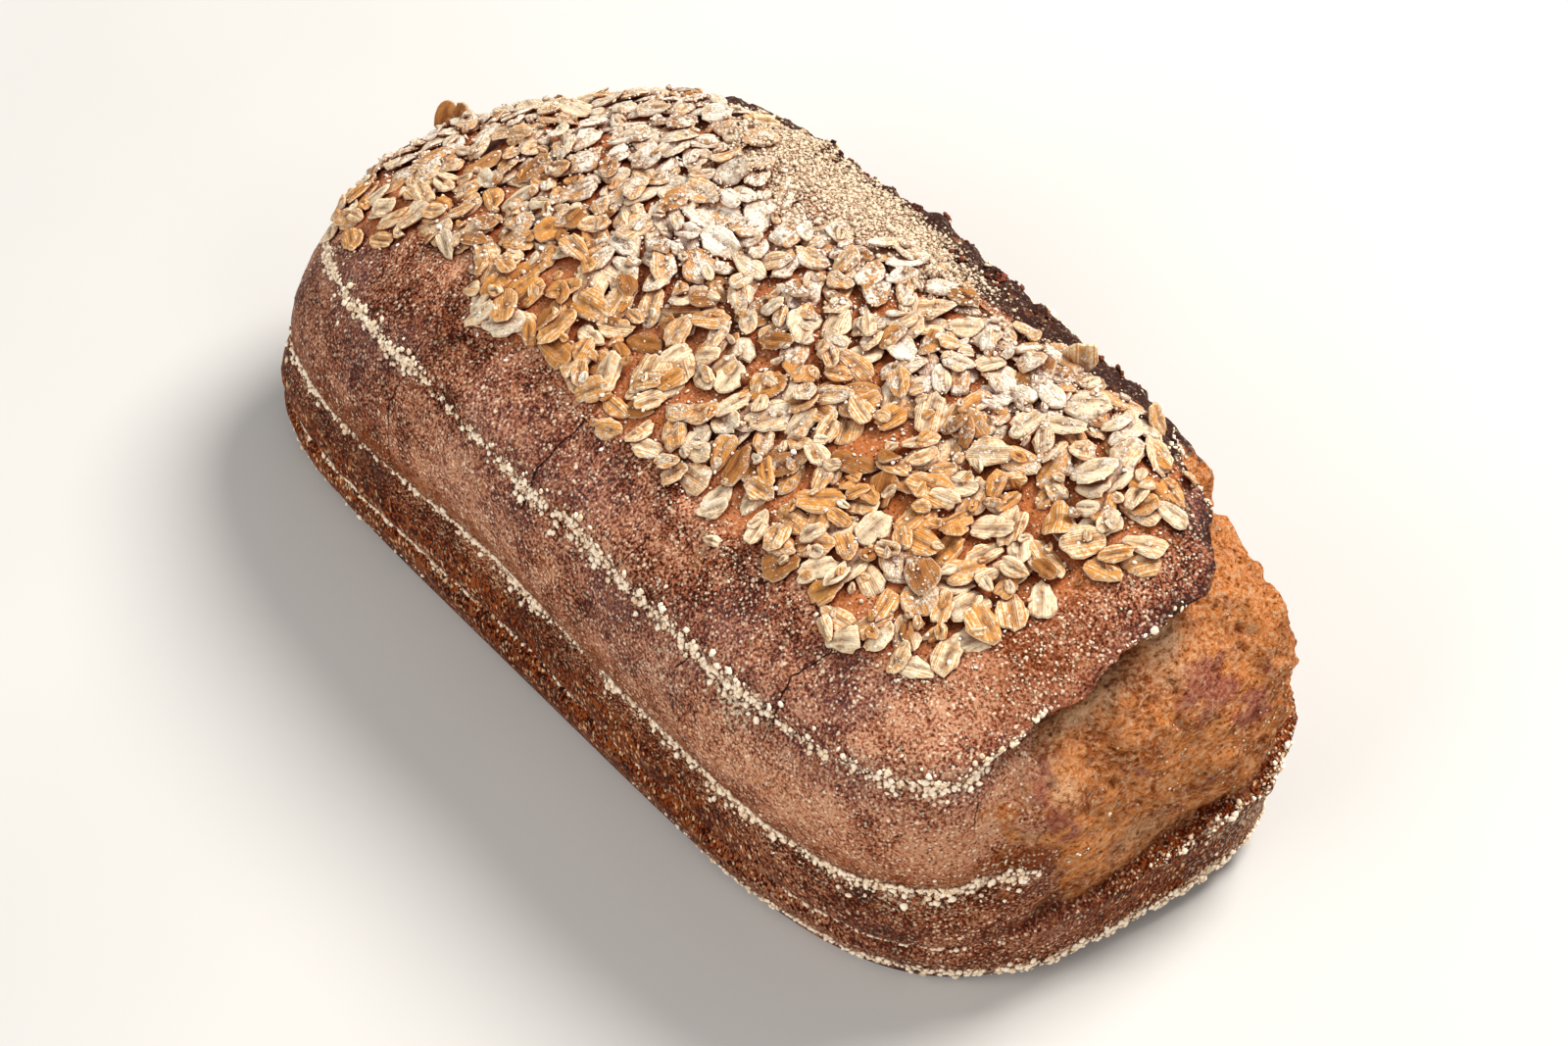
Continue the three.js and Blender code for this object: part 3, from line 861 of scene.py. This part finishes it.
def scattered_lumps(loaf, areas, clusters, chance, evenness, tones):
    """Places, normals, sizes and tones of lumps on the crust, in clusters."""
    groups = []
    for first, last, low, high, count, size in areas:
        where = random.uniform(first, last, count)
        row = random.triangular(low, (low + high) / 2, high, count)
        kept = random.uniform(*chance, count) < layers(loaf.place(where, row)[0], *clusters)
        groups.append((where[kept], row[kept], random.gamma(evenness, size / evenness, count)[kept]))
    degrees, rows, sizes = (np.concatenate(group) for group in zip(*groups))
    return lumps_on_crust(loaf, degrees, rows, sizes, random.uniform(*tones, len(sizes)))


class HeightField:
    """Heights over the loaf's top on an even plan grid, raised as flakes are laid on it."""

    def __init__(self, loaf):
        tree = BVHTree.FromPolygons(loaf.all_points().tolist(), loaf.faces())
        (left, near), (right, far) = FIELD
        self.x = np.arange(left, right, FIELD_STEP)
        self.y = np.arange(near, far, FIELD_STEP)
        self.bare = np.zeros((len(self.x), len(self.y)))
        down = Vector((0, 0, -1))
        for (i, x), (j, y) in itertools.product(enumerate(self.x), enumerate(self.y)):
            hit = tree.ray_cast(Vector((x, y, 2 * SHOULDER[0])), down)[0]
            if hit is not None:
                self.bare[i, j] = hit.z
        self.top = self.bare.copy()

    def index(self, x, y):
        steps = ((x - self.x[0]) / FIELD_STEP, len(self.x)), ((y - self.y[0]) / FIELD_STEP, len(self.y))
        return tuple(np.clip(step.round().astype(int), 0, count - 1) for step, count in steps)

    def under(self, x, y, turn, length, width):
        """The grid's cells under a flake: (cells, place along the flake, place across it)."""
        reach = length / 2 + 1
        first = self.index(np.array(x - reach), np.array(y - reach))
        last = self.index(np.array(x + reach), np.array(y + reach))
        i, j = np.meshgrid(*(np.arange(a, b + 1) for a, b in zip(first, last)), indexing="ij")
        east, north = self.x[i] - x, self.y[j] - y
        along = east * np.cos(turn) + north * np.sin(turn)
        across = north * np.cos(turn) - east * np.sin(turn)
        inside = (along / (length / 2)) ** 2 + (across / (width / 2)) ** 2 < 1
        return (i[inside], j[inside]), along[inside], across[inside]

    def settle(self, x, y, turn, length, width, tilt):
        """Lays a flake on what is there. Gives its middle's height and its slopes, or None where
        there is nothing to lie on or it would stand too proud."""
        cell, along, across = self.under(x, y, turn, length, width)
        if len(along) < FEWEST_CELLS:
            return None
        sides = np.stack([np.ones_like(along), along, across], 1)
        found = np.linalg.lstsq(sides, self.top[cell], rcond=None)[0]
        base = np.linalg.lstsq(sides, self.bare[cell], rcond=None)[0]
        slopes = base[1:] + np.clip(found[1:] - base[1:], -FLAKE_LEAN, FLAKE_LEAN) + tilt
        lying = along * slopes[0] + across * slopes[1]
        middle = np.percentile(self.top[cell] - lying, FLAKE_REST)
        if middle - base[0] > STACK_LIMIT or np.abs(slopes).max() > STEEPEST:
            return None
        self.top[cell] = np.maximum(self.top[cell], middle + lying + FLAKE_THICKNESS[0] * 0.85)
        return middle, slopes


def flake_shape(length, width, segments, rings):
    """A rolled oat flake about its own middle: an irregular oval, thin at its rim, creased along
    its middle and curled. Returns its points, faces, how near each point is to rim and crease, and
    where it lies across the strands."""
    angle = 2 * np.pi * np.arange(segments) / segments
    phase = flake_random.uniform(0, 2 * np.pi, 6)
    outline = 1 + 0.06 * np.sin(3 * angle + phase[0]) + 0.04 * np.sin(5 * angle + phase[1])
    outline += 0.03 * np.sin(9 * angle + phase[2]) + flake_random.uniform(-0.07, 0.07, segments)
    notch = flake_random.choice([0, 0, 0.12, 0.25])
    outline -= notch * window((angle - phase[3] + np.pi) % (2 * np.pi) - np.pi, 0, 0.22)
    thickness = flake_random.uniform(*FLAKE_THICKNESS)
    groove_depth = flake_random.uniform(0.1, 0.55)
    groove_off = flake_random.uniform(-0.12, 0.12) * width
    curl = flake_random.normal(0.2, 0.45), flake_random.normal(0, 0.2), flake_random.normal(0, 0.35)
    fold = flake_random.normal(0.04, 0.13)

    scale = np.array([1, *np.linspace(0.93, 0, rings)[:-1], 0.88])[:, None]
    x = length / 2 * np.cos(angle) * outline * scale
    y = width / 2 * np.sin(angle) * outline * (1 - 0.14 * np.cos(angle)) * scale
    groove = window(y, groove_off, 0.1 * width) * (1 - scale**3)
    ribs = 0.1 * np.sin(14 * y / width + phase[4]) * (1 - scale**4)
    z = thickness * (1 - scale**10) + ribs - groove_depth * groove
    underside = -0.4 * thickness
    z[-1] = underside
    z += curl[0] * (2 * x / length) ** 2 + curl[1] * (2 * y / width) ** 2
    z += fold * np.abs(y - groove_off) + curl[2] * 4 * x * y / (length * width)
    middles = [[0, 0, thickness - groove_depth], [0, 0, underside]]
    points = np.concatenate([np.stack([x, y, z], -1).reshape(-1, 3), middles])

    ring = segments * np.arange(rings + 1)[:, None]
    a, b = ring + np.arange(segments), ring + np.roll(np.arange(segments), -1)
    corners = []
    for i in range(rings - 1):
        corners += [(a[i], b[i], b[i + 1]), (a[i], b[i + 1], a[i + 1])]
    corners += [(a[-2], b[-2], z.size), (b[0], a[0], b[-1]), (a[0], a[-1], b[-1]), (b[-1], a[-1], z.size + 1)]
    faces = np.concatenate([np.stack(np.broadcast_arrays(*three), 1) for three in corners])
    strand = points[:, 1] + flake_random.uniform(0, STRAND_SHIFT)
    return points, faces, np.append(scale + 0 * x, [0, 0]), np.append(groove, [1, 0]), strand


def panel_far(x):
    """The far edge of the oats along the loaf: drawn in beside the patch of meal."""
    edge = PANEL["far"] - 13 * window(x, -25, 17) + 7 * ease(x, -50, -68)
    return edge + 3 * ease(x, 35, 60) + 1.2 * np.sin(x / 5)


def panel_edges(x, y):
    """How far a place lies inside the oat-covered part of the top, in millimetres."""
    near = PANEL["near"] + PANEL["near_step"] * ease(x, -45, -75) - 9 * ease(x, -95, -118)
    near += 2.2 * np.sin(x / 7) + 1.5 * np.sin(x / 3.1)
    torn = PANEL["torn"] + 0.28 * y - 0.9 * np.clip(y - 25, 0, None) + 1.2 * np.sin(y / 6)
    nose = -PANEL["plain"] + 0.006 * y * y
    return np.minimum(np.minimum(y - near, panel_far(x) - y), np.minimum(torn - x, x - nose))


def flake_dust(x, y):
    """How floury the oats are at a place: most along the middle and the far side."""
    dust = 0.3 + 0.35 * ease(y - 0.1 * x, -22, 18) - 0.22 * ease(x - 0.6 * y, 35, 75)
    dust += 0.15 * ease(x, -116, -130) - 0.22 * window(x, -102, 13)
    return np.clip(dust + layers(on_plan(x, y), (0.22, 26, 70), (0.2, 10, 71)), 0, 1)


def lay_flake(field, x, y, length, width, turn, tilt, segments, rings):
    """One flake's mesh laid on the field, or None where there is no room."""
    settled = field.settle(x, y, turn, length, width, tilt)
    if settled is None:
        return None
    middle, (slope_along, slope_across) = settled
    points, *rest = flake_shape(length, width, segments, rings)
    along = np.array([np.cos(turn), np.sin(turn), slope_along])
    across = np.array([-np.sin(turn), np.cos(turn), slope_across])
    along /= np.linalg.norm(along)
    across -= along * (across @ along)
    across /= np.linalg.norm(across)
    axes = np.stack([along, across, np.cross(along, across)])
    return points @ axes + [x, y, middle], *rest


def stand_flake(field, x, y, length, width, facing, lean):
    """One flake's mesh standing on its tip, caught in the flour and the flakes round it."""
    points, *rest = flake_shape(length, width, *FLAKE_BATCHES[0][3:])
    facing, lean = math.radians(facing), math.radians(lean)
    out = np.array([math.cos(facing), math.sin(facing), 0])
    upward = np.array([0, 0, 1])
    normal = out * math.cos(lean) + upward * math.sin(lean)
    along = upward * math.cos(lean) - out * math.sin(lean)
    middle = np.array([x, y, field.bare[field.index(np.array(x), np.array(y))]]) + along * 0.42 * length
    return points @ np.stack([along, np.cross(normal, along), normal]) + middle, *rest


def make_flakes(field, material):
    """The oat flakes: large ones first, then smaller ones and broken bits in the gaps."""
    flakes = []

    def keep(flake, dust, tone):
        count = len(flake[0])
        dust += flake_random.normal(0, 0.13)
        flakes.append((*flake, np.full(count, tone), np.full(count, dust)))

    for count, shortest, longest, segments, rings in FLAKE_BATCHES:
        laid = 0
        for i in range(count * FLAKE_TRIES):
            if laid == count:
                break
            x, y = (
                start + span * ((0.5 + step * i) % 1) + flake_random.normal(0, FLAKE_JITTER)
                for start, span, step in FLAKE_SPREAD
            )
            length = flake_random.uniform(shortest, longest)
            width = length * flake_random.uniform(*FLAKE_SLIMNESS)
            turn, tilt = flake_random.uniform(0, 2 * np.pi), flake_random.normal(0, 0.09, 2)
            if panel_edges(x, y) < flake_random.uniform(-2, 2.5):
                continue
            dust = flake_dust(np.array(x), np.array(y))
            if flake_random.random() > 0.7 + 0.6 * dust:
                continue
            flake = lay_flake(field, x, y, length, width, turn, tilt, segments, rings)
            if flake is not None:
                tone = flake_random.random()
                keep(flake, dust, tone)
                laid += 1
    for *place, tone in STRAYS:
        keep(stand_flake(field, *place), 0.3 * (tone > 0.1), tone)

    points, faces, rims, creases, strands, tones, dusts = zip(*flakes)
    firsts = np.cumsum([0] + [len(part) for part in points])
    faces = [part + first for part, first in zip(faces, firsts)]
    piece = new_piece("oat_flakes", np.concatenate(points), np.concatenate(faces).tolist(), material)
    values = {"rim": rims, "crease": creases, "across": strands, "tone": tones, "dust": dusts}
    set_values(piece, **{name: np.concatenate(parts) for name, parts in values.items()})
    piece.data.set_sharp_from_angle(angle=math.radians(FLAKE_EDGE_ANGLE))


def strewn_lumps(field, density, east, north, count, evenness, size, limits, tones):
    """Lumps on the top and on its flakes, as densely as density says for each place."""
    x, y = random.uniform(*east, count), random.uniform(*north, count)
    kept = random.random(count) < density(x, y)
    x, y = x[kept], y[kept]
    sizes = np.clip(random.gamma(evenness, size / evenness, len(x)), *limits)
    tones = random.uniform(*tones, len(x))
    i, j = field.index(x, y)
    on_loaf = field.bare[i, j] > RING_MIDDLE[0]
    places = np.stack([x, y, field.top[i, j] + 0.15 * sizes], -1)[on_loaf]
    return places, np.tile([0.0, 0.0, 1.0], (len(places), 1)), sizes[on_loaf], tones[on_loaf]


def meal_patch(x, y):
    """How densely meal covers a place on the top: only a patch along the far side."""
    dense = ease(x, -64, -46) * ease(x, 38, -8) * ease(y, 56, 49)
    uneven = 1.15 + 0.6 * noise(on_plan(x, y), 8, 73)
    return dense * ease(y - panel_far(x), -10, -1) * uneven


def crumbs_density(x, y):
    """How densely meal and crumbs of oats lie between and on the flakes, with a random edge."""
    wanted = 0.15 + 0.8 * flake_dust(x, y) + 0.35 * noise(on_plan(x, y), 7, 72)
    return wanted * (panel_edges(x, y) > random.uniform(-6, 1.5, len(x)))


def paint(code):
    """A screen colour such as "b98468" as the linear colour that a shader takes."""
    parts = np.array([int(code[i:i + 2], 16) for i in (0, 2, 4)]) / 255
    linear = np.where(parts <= 0.04045, parts / 12.92, ((parts + 0.055) / 1.055) ** 2.4)
    return (*linear.tolist(), 1)


class Signal:
    """What flows from one node of a material into others, and can be reckoned with."""

    def __init__(self, shader, socket):
        self.shader = shader
        self.socket = socket

    def __add__(self, other):
        return self.shader.math("ADD", self, other)

    def __sub__(self, other):
        return self.shader.math("SUBTRACT", self, other)

    def __mul__(self, other):
        return self.shader.math("MULTIPLY", self, other)

    def or_more(self, other):
        """Whichever of the two is larger."""
        return self.shader.math("MAXIMUM", self, other)

    def between(self, low, high, to_low=0.0, to_high=1.0):
        """A smooth step from to_low at low to to_high at high."""
        step = self.shader.node("ShaderNodeMapRange", interpolation_type="SMOOTHSTEP")
        return self.shader.feed(step, self, low, high, to_low, to_high)

    def sway(self, most):
        """A noise as a push either way, of as much as most."""
        return self.between(0.3, 0.7, -most, most)


class Shader:
    """Short calls for building one material's nodes. Places and sizes are in millimetres."""

    def __init__(self, name):
        self.material = bpy.data.materials.new(name)
        self.material.use_nodes = True
        self.tree = self.material.node_tree
        self.tree.nodes.clear()
        place = Signal(self, self.node("ShaderNodeTexCoord").outputs["Object"])
        self.place = self.vector("SCALE", place, scale=1000)

    def node(self, kind, **settings):
        node = self.tree.nodes.new(kind)
        for name, value in settings.items():
            setattr(node, name, value)
        return node

    def put(self, socket, value):
        if isinstance(value, Signal):
            self.tree.links.new(value.socket, socket)
        else:
            socket.default_value = paint(value) if isinstance(value, str) else value

    def feed(self, node, *values, first=0, output=0, **named):
        """Fills a node's inputs, in order and by name, and gives one of its outputs."""
        for i, value in enumerate(values):
            self.put(node.inputs[first + i], value)
        for name, value in named.items():
            self.put(node.inputs[name.replace("_", " ").title()], value)
        return Signal(self, node.outputs[output])

    def vector(self, operation, a, b=(0, 0, 0), **named):
        node = self.node("ShaderNodeVectorMath", operation=operation)
        output = "Value" if operation == "DOT_PRODUCT" else "Vector"
        return self.feed(node, a, b, output=output, **named)

    def math(self, operation, a, b=0.0, tolerance=0.5):
        return self.feed(self.node("ShaderNodeMath", operation=operation), a, b, tolerance)

    def value(self, name):
        """A number that set_values() kept on the mesh."""
        return self.feed(self.node("ShaderNodeAttribute", attribute_name=name), output="Fac")

    def stretched(self, x, y, z):
        return self.vector("MULTIPLY", self.place, (x, y, z))

    def noise(self, size, detail=2, place=None, roughness=0.55, output="Fac"):
        values = {"vector": place or self.place, "scale": 1 / size, "detail": detail, "roughness": roughness}
        return self.feed(self.node("ShaderNodeTexNoise"), output=output, **values)

    def spots(self, size, place=None):
        """(distance to the nearest spot, in spacings; that spot's own colour)"""
        node = self.node("ShaderNodeTexVoronoi")
        distance = self.feed(node, vector=place or self.place, scale=1 / size, output="Distance")
        return distance, Signal(self, node.outputs["Color"])

    def gaps(self, reach, most):
        """Painted shade: most deep in a gap between things closer than reach, and 0 in the open."""
        node = self.node("ShaderNodeAmbientOcclusion", samples=4)
        return self.feed(node, distance=reach / 1000, output="AO").between(0.85, 0.3, 0, most)

    def coated(self, colour, *coats):
        """The colour with others over it, each as (share, colour) or (share, colour, how they blend)."""
        for share, coat, *blend in coats:
            node = self.node("ShaderNodeMix", data_type="RGBA", blend_type="".join(blend) or "MIX")
            self.put(node.inputs[0], share)
            colour = self.feed(node, colour, coat, first=6, output=2)
        return colour

    def finish(self, colour, roughness, height, depth, specular=0.2):
        """Puts the colour, roughness and bump on the surface; depth is the bump's in millimetres."""
        bump = self.feed(self.node("ShaderNodeBump"), height=height, distance=depth / 1000)
        gloss = self.node("ShaderNodeBsdfPrincipled")
        self.put(gloss.inputs["Specular IOR Level"], specular)
        light = self.feed(gloss, base_color=colour, roughness=roughness, normal=bump)
        self.put(self.node("ShaderNodeOutputMaterial").inputs["Surface"], light)
        return self.material


def crack_mask(shader, parts):
    """1 in the middle of a crack and 0 beside it."""
    waver = shader.vector("SUBTRACT", shader.noise(5, 3, output="Color"), (0.5, 0.5, 0.5))
    place = shader.vector("ADD", shader.place, shader.vector("SCALE", waver, scale=2.6))
    mask = 0.0
    for width, start, along, side, normal in parts:
        away = shader.vector("SUBTRACT", place, tuple(start - SHIFT))
        part, gap, through = (
            shader.vector("DOT_PRODUCT", away, tuple(way)) for way in (along / (along @ along), side, normal)
        )
        inside = shader.math("COMPARE", part, 0.5, tolerance=0.52)
        inside *= shader.math("LESS_THAN", shader.math("ABSOLUTE", through), CRACK_THROUGH)
        line = shader.math("ABSOLUTE", gap).between(0.75 * width, 0.25 * width)
        mask = (line * inside).or_more(mask)
    return mask


def crumb_colours(shader):
    """The torn crumb's colour, its strands and its pits."""
    fibres = shader.noise(1.25, 5, shader.stretched(1, 0.8, 1.3), 0.75)
    # Orange mottling, with painted light in patches where the crumb faces down
    glow = shader.noise(6, 4) + shader.value("glow") * 0.3
    skin = (shader.value("skin") + shader.noise(4.5, 4).sway(0.35)).between(0.25, 0.8, 0, 0.9)
    pit, pit_own = shader.spots(2.8)
    pits = pit.between(0.32, 0.12) * pit_own.between(0.72, 0.82, 0, 0.85)
    pits = pits.or_more(fibres.between(0.46, 0.3, 0, 0.9))
    colour = shader.coated(
        CRUMB_BROWN,
        (glow.between(0.42, 0.66), CRUMB_ORANGE),
        (skin, CRUMB_RED),
        (fibres.between(0.48, 0.64, 0, 0.9) * skin.between(0, 1, 1, 0.45), CRUMB_TAN),
        (shader.value("fibres") * fibres.between(0.35, 0.6, 0.4, 0.95), CRUMB_TAN),
        (pits, CRUMB_PIT_AND_SHADE),
    )
    return colour, fibres, pits


def crust_material(cracks):
    shader = Shader("crust")
    tone, low, bed = shader.value("tone"), shader.value("low"), shader.value("bed")
    upright = shader.coated(shader.place, (low, shader.stretched(1, 1, 0.5)))
    grain = shader.noise(0.7, 5, upright, 0.6)
    level = tone + shader.noise(7, 4, roughness=0.6).sway(0.22)
    level += grain.between(0.34, 0.66, -0.45, 0.45)
    level += low * grain.between(0.34, 0.6, -0.42, 0.3)

    speck, speck_own = shader.spots(1.9, upright)
    fine, fine_own = shader.spots(1, upright)
    size = shader.noise(1.6, 2).between(0.35, 0.7, 0.14, 0.44)
    specks = speck.between(size, size * 0.5) * speck_own.between(0.5, 0.7)
    fines = fine.between(0.42, 0.24) * fine_own.between(0.52, 0.64)
    specks = specks.or_more(fines * 0.8)
    pores = shader.spots(1.3, upright)[0].between(0.3, 0.14, 0, 0.75)
    cracked = crack_mask(shader, cracks)
    crumb, fibres, pits = crumb_colours(shader)
    torn = (shader.value("torn") + shader.noise(5, 5).sway(0.45)).between(0.25, 0.85)
    dusting = (shader.value("flour") + shader.noise(0.9, 4).sway(0.5)).between(0.3, 0.8, 0, 0.92)

    colour = shader.coated(
        CRUST_DARK,
        (level.between(0.08, 0.62), CRUST_MIDDLE),
        (level.between(0.52, 1.05), CRUST_PALE),
        # Painted sheen: a mauve reflection on the crust
        (shader.value("mauve") * grain.between(0.35, 0.6, 0.75, 0.3), CRUST_SHEEN_PURPLE),
        (shader.value("warmth") * 0.72, CRUST_ORANGE),
        (bed * 0.7, OATS_BED),
        (low, CRUST_LOW, "MULTIPLY"),
        ((tone + grain.sway(0.08)).between(0.2, 0.0, 0, 0.9), CRUST_BURNT),
        (
            specks * tone.between(0.0, 0.45, 0.1, 0.85) * bed.between(0, 1, 1, 0.45),
            shader.coated(CRUST_SPECK, (low, SPECK_LOW)),
        ),
        (pores, CRUST_DARK),
        (cracked, CRACK_SHADE),
        (torn, crumb),
        # Painted shade under the flap and behind the lower lip, and the crumb's own dark patches
        (shader.value("shade") * grain.between(0.25, 0.6, 0.85, 0.45), CRUMB_PIT_AND_SHADE),
        (dusting, shader.coated(FLOUR_DEEP, (shader.noise(1.5, 2), FLOUR))),
        # Painted shade where the crust lies deep among flakes and lumps
        (shader.gaps(3.5, 0.9), GAP_SHADE, "MULTIPLY"),
    )
    height = grain * 0.8 + specks * 0.22 - pores * 0.35 - cracked * 1.2 + fibres * torn * 3.4
    height = height - pits * torn * 1.5 + dusting * shader.noise(0.8, 2)
    rough = grain.between(0.3, 0.7, 0.4, 0.58).or_more(torn * 0.72).or_more(dusting * 0.95)
    return shader.finish(colour, rough, height, depth=0.6, specular=0.03)


def oat_material():
    shader = Shader("oats")
    tone = shader.value("tone")
    stripes = shader.node("ShaderNodeTexNoise", noise_dimensions="1D")
    stripes = shader.feed(stripes, w=shader.value("across"), scale=2.2, detail=3)
    grain = shader.noise(1.1, 5, roughness=0.65) + stripes.sway(0.12)
    powder = shader.value("dust") + shader.noise(0.8, 5, roughness=0.7).sway(0.5)
    powder = (powder + shader.noise(4.5, 3).sway(0.35)).between(0.5, 1.05, 0, 0.9)
    colour = shader.coated(
        OAT_TOASTED,
        ((tone + grain.sway(0.45)).between(0.1, 1.0), OAT_PALE),
        (tone.between(0.14, 0.06, 0, 0.6), OAT_BROWN),
        (shader.noise(2.8, 5).between(0.52, 0.72, 0, 0.7), OAT_BROWN),
        (shader.value("crease") * grain.between(0.35, 0.6, 0.3, 0.9), OAT_CREASE),
        (shader.value("rim").between(0.88, 1, 0, 0.45), OAT_PALE),
        (powder, OAT_DUST),
        # Painted shade in the gaps between flakes
        (shader.gaps(3, 0.9), GAP_SHADE, "MULTIPLY"),
    )
    height = grain + powder * shader.noise(0.6, 2) + stripes
    return shader.finish(colour, powder.between(0, 1, 0.5, 0.9), height, depth=0.35)


def flour_material(name, deep, pale):
    shader = Shader(name)
    tone = shader.value("tone")
    colour = shader.coated(
        deep,
        ((tone + shader.noise(0.8, 3).sway(0.3)).between(0.0, 0.75), pale),
        (tone.between(0.06, 0.02, 0, 0.7), OAT_BROWN),
        # Painted shade in the gaps between lumps
        (shader.gaps(1.5, 0.7), GAP_SHADE, "MULTIPLY"),
    )
    return shader.finish(colour, 0.9, shader.noise(0.5, 2), depth=0.15)


def floor_material():
    shader = Shader("floor")
    colour = shader.coated(FLOOR_DEEP, (shader.noise(180, 2).between(0.3, 0.7), FLOOR))
    return shader.finish(colour, 0.75, shader.noise(4, 2), depth=0.02)


def make_floor():
    side = FLOOR_HALF_SIDE
    corners = [(-side, -side, 0), (side, -side, 0), (side, side, 0), (-side, side, 0)]
    floor = add_mesh("floor", corners, [(0, 1, 2, 3)], floor_material())


def make_camera():
    data = bpy.data.cameras.new("camera")
    data.sensor_width = SENSOR_WIDTH
    data.lens = SENSOR_WIDTH * CAMERA_LENS_PIXELS / PICTURE_WIDTH
    data.clip_start = CAMERA_NEAREST
    place = Matrix.Translation((Vector((0, 0, CAMERA_AIM_HEIGHT)) - Vector(SHIFT)) / 1000)
    turns = ((CAMERA_AZIMUTH, "Z"), (90 - CAMERA_ELEVATION, "X"), (CAMERA_ROLL, "Z"))
    for degrees, axis in turns:
        place @= Matrix.Rotation(math.radians(degrees), 4, axis)
    away = Vector((CAMERA_ASIDE, CAMERA_RAISED, CAMERA_DISTANCE))
    camera = add_object("camera", data)
    camera.matrix_world = place @ Matrix.Translation(away / 1000)
    bpy.context.scene.camera = camera


def make_lights():
    for name, place, size, power, colour in LIGHTS:
        data = bpy.data.lights.new(name, "AREA")
        data.shape = "DISK"
        data.size = size
        data.energy = power
        data.color = colour
        lamp = add_object(name, data)
        lamp.location = place
        towards_loaf = Vector(LIGHTS_AIM) - Vector(place)
        lamp.rotation_euler = towards_loaf.to_track_quat("-Z", "Y").to_euler()
    world = bpy.data.worlds.new("studio")
    world.use_nodes = True
    background = world.node_tree.nodes["Background"]
    background.inputs["Color"].default_value = (*SKY, 1)
    background.inputs["Strength"].default_value = SKY_STRENGTH
    bpy.context.scene.world = world
    bpy.context.scene.view_settings.view_transform = "Standard"


loaf = Surface()
all_points = loaf.all_points()
SHIFT = (all_points.min(0) + all_points.max(0)) / 2 - np.mean(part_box("loaf"), axis=0) * 1000
SHIFT[2] = 0

torn = torn_mask(loaf)
loaf.swell(relief(loaf, torn) - crack_depth(loaf.points, crack_parts(loaf)))

piece = new_piece("loaf_crust", loaf.all_points(), loaf.faces(), crust_material(crack_parts(loaf)))
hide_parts("loaf")
# What the crust's material reads, with the values at the middles of the base and of the crown
crust_values = {
    "torn": (torn, 0, 0),
    "flour": (flour_on_crust(loaf), 0.3, 0),
    "tone": (crust_tone(loaf), 0.4, 0.6),
    "warmth": (crust_warmth(loaf), 0, 1),
    # Painted shade in the torn end's hollows, and the crumb's own dark patches
    "shade": (crust_painted_shade_and_dark_patches(loaf), 0, 0),
    "skin": (patch_strength(loaf, CRUMB_SKIN), 0, 0),
    "fibres": (patch_strength(loaf, CRUMB_FIBRES), 0, 0),
    # Orange patches and painted light on the crumb
    "glow": (patch_strength(loaf, CRUMB_ORANGE_AND_PAINTED_LIGHT), 0, 0),
    "bed": (oats_bed(loaf), 0, 1),
    # Painted sheen on the crust
    "mauve": (crust_painted_sheen(loaf), 0, 0),
    "low": (crust_low(loaf), 1, 0),
}
for name, (values, base, crown) in crust_values.items():
    set_values(piece, **{name: np.concatenate([[base], values.ravel(), [crown]])})

flour = flour_material("flour", FLOUR_DEEP, FLOUR)
make_lumps("ring_flour", flour, *ring_lumps(loaf))
crags = flour_material("crags", CRAG_DARK, CRAG_PALE)
make_lumps("crust_crags", crags, *scattered_lumps(loaf, **CRAG_LUMPS))

field = HeightField(loaf)
make_flakes(field, oat_material())
crumbs = flour_material("oat_crumbs", OAT_CRUMB, OAT_DUST)
make_lumps("oat_crumbs", crumbs, *strewn_lumps(field, crumbs_density, **PANEL_CRUMBS))
meal = flour_material("meal", MEAL_DEEP, MEAL_PALE)
meal_groups = zip(scattered_lumps(loaf, **MEAL), strewn_lumps(field, meal_patch, **MEAL_PATCH))
make_lumps("coarse_meal", meal, *(np.concatenate(group) for group in meal_groups))

make_floor()
make_camera()
make_lights()
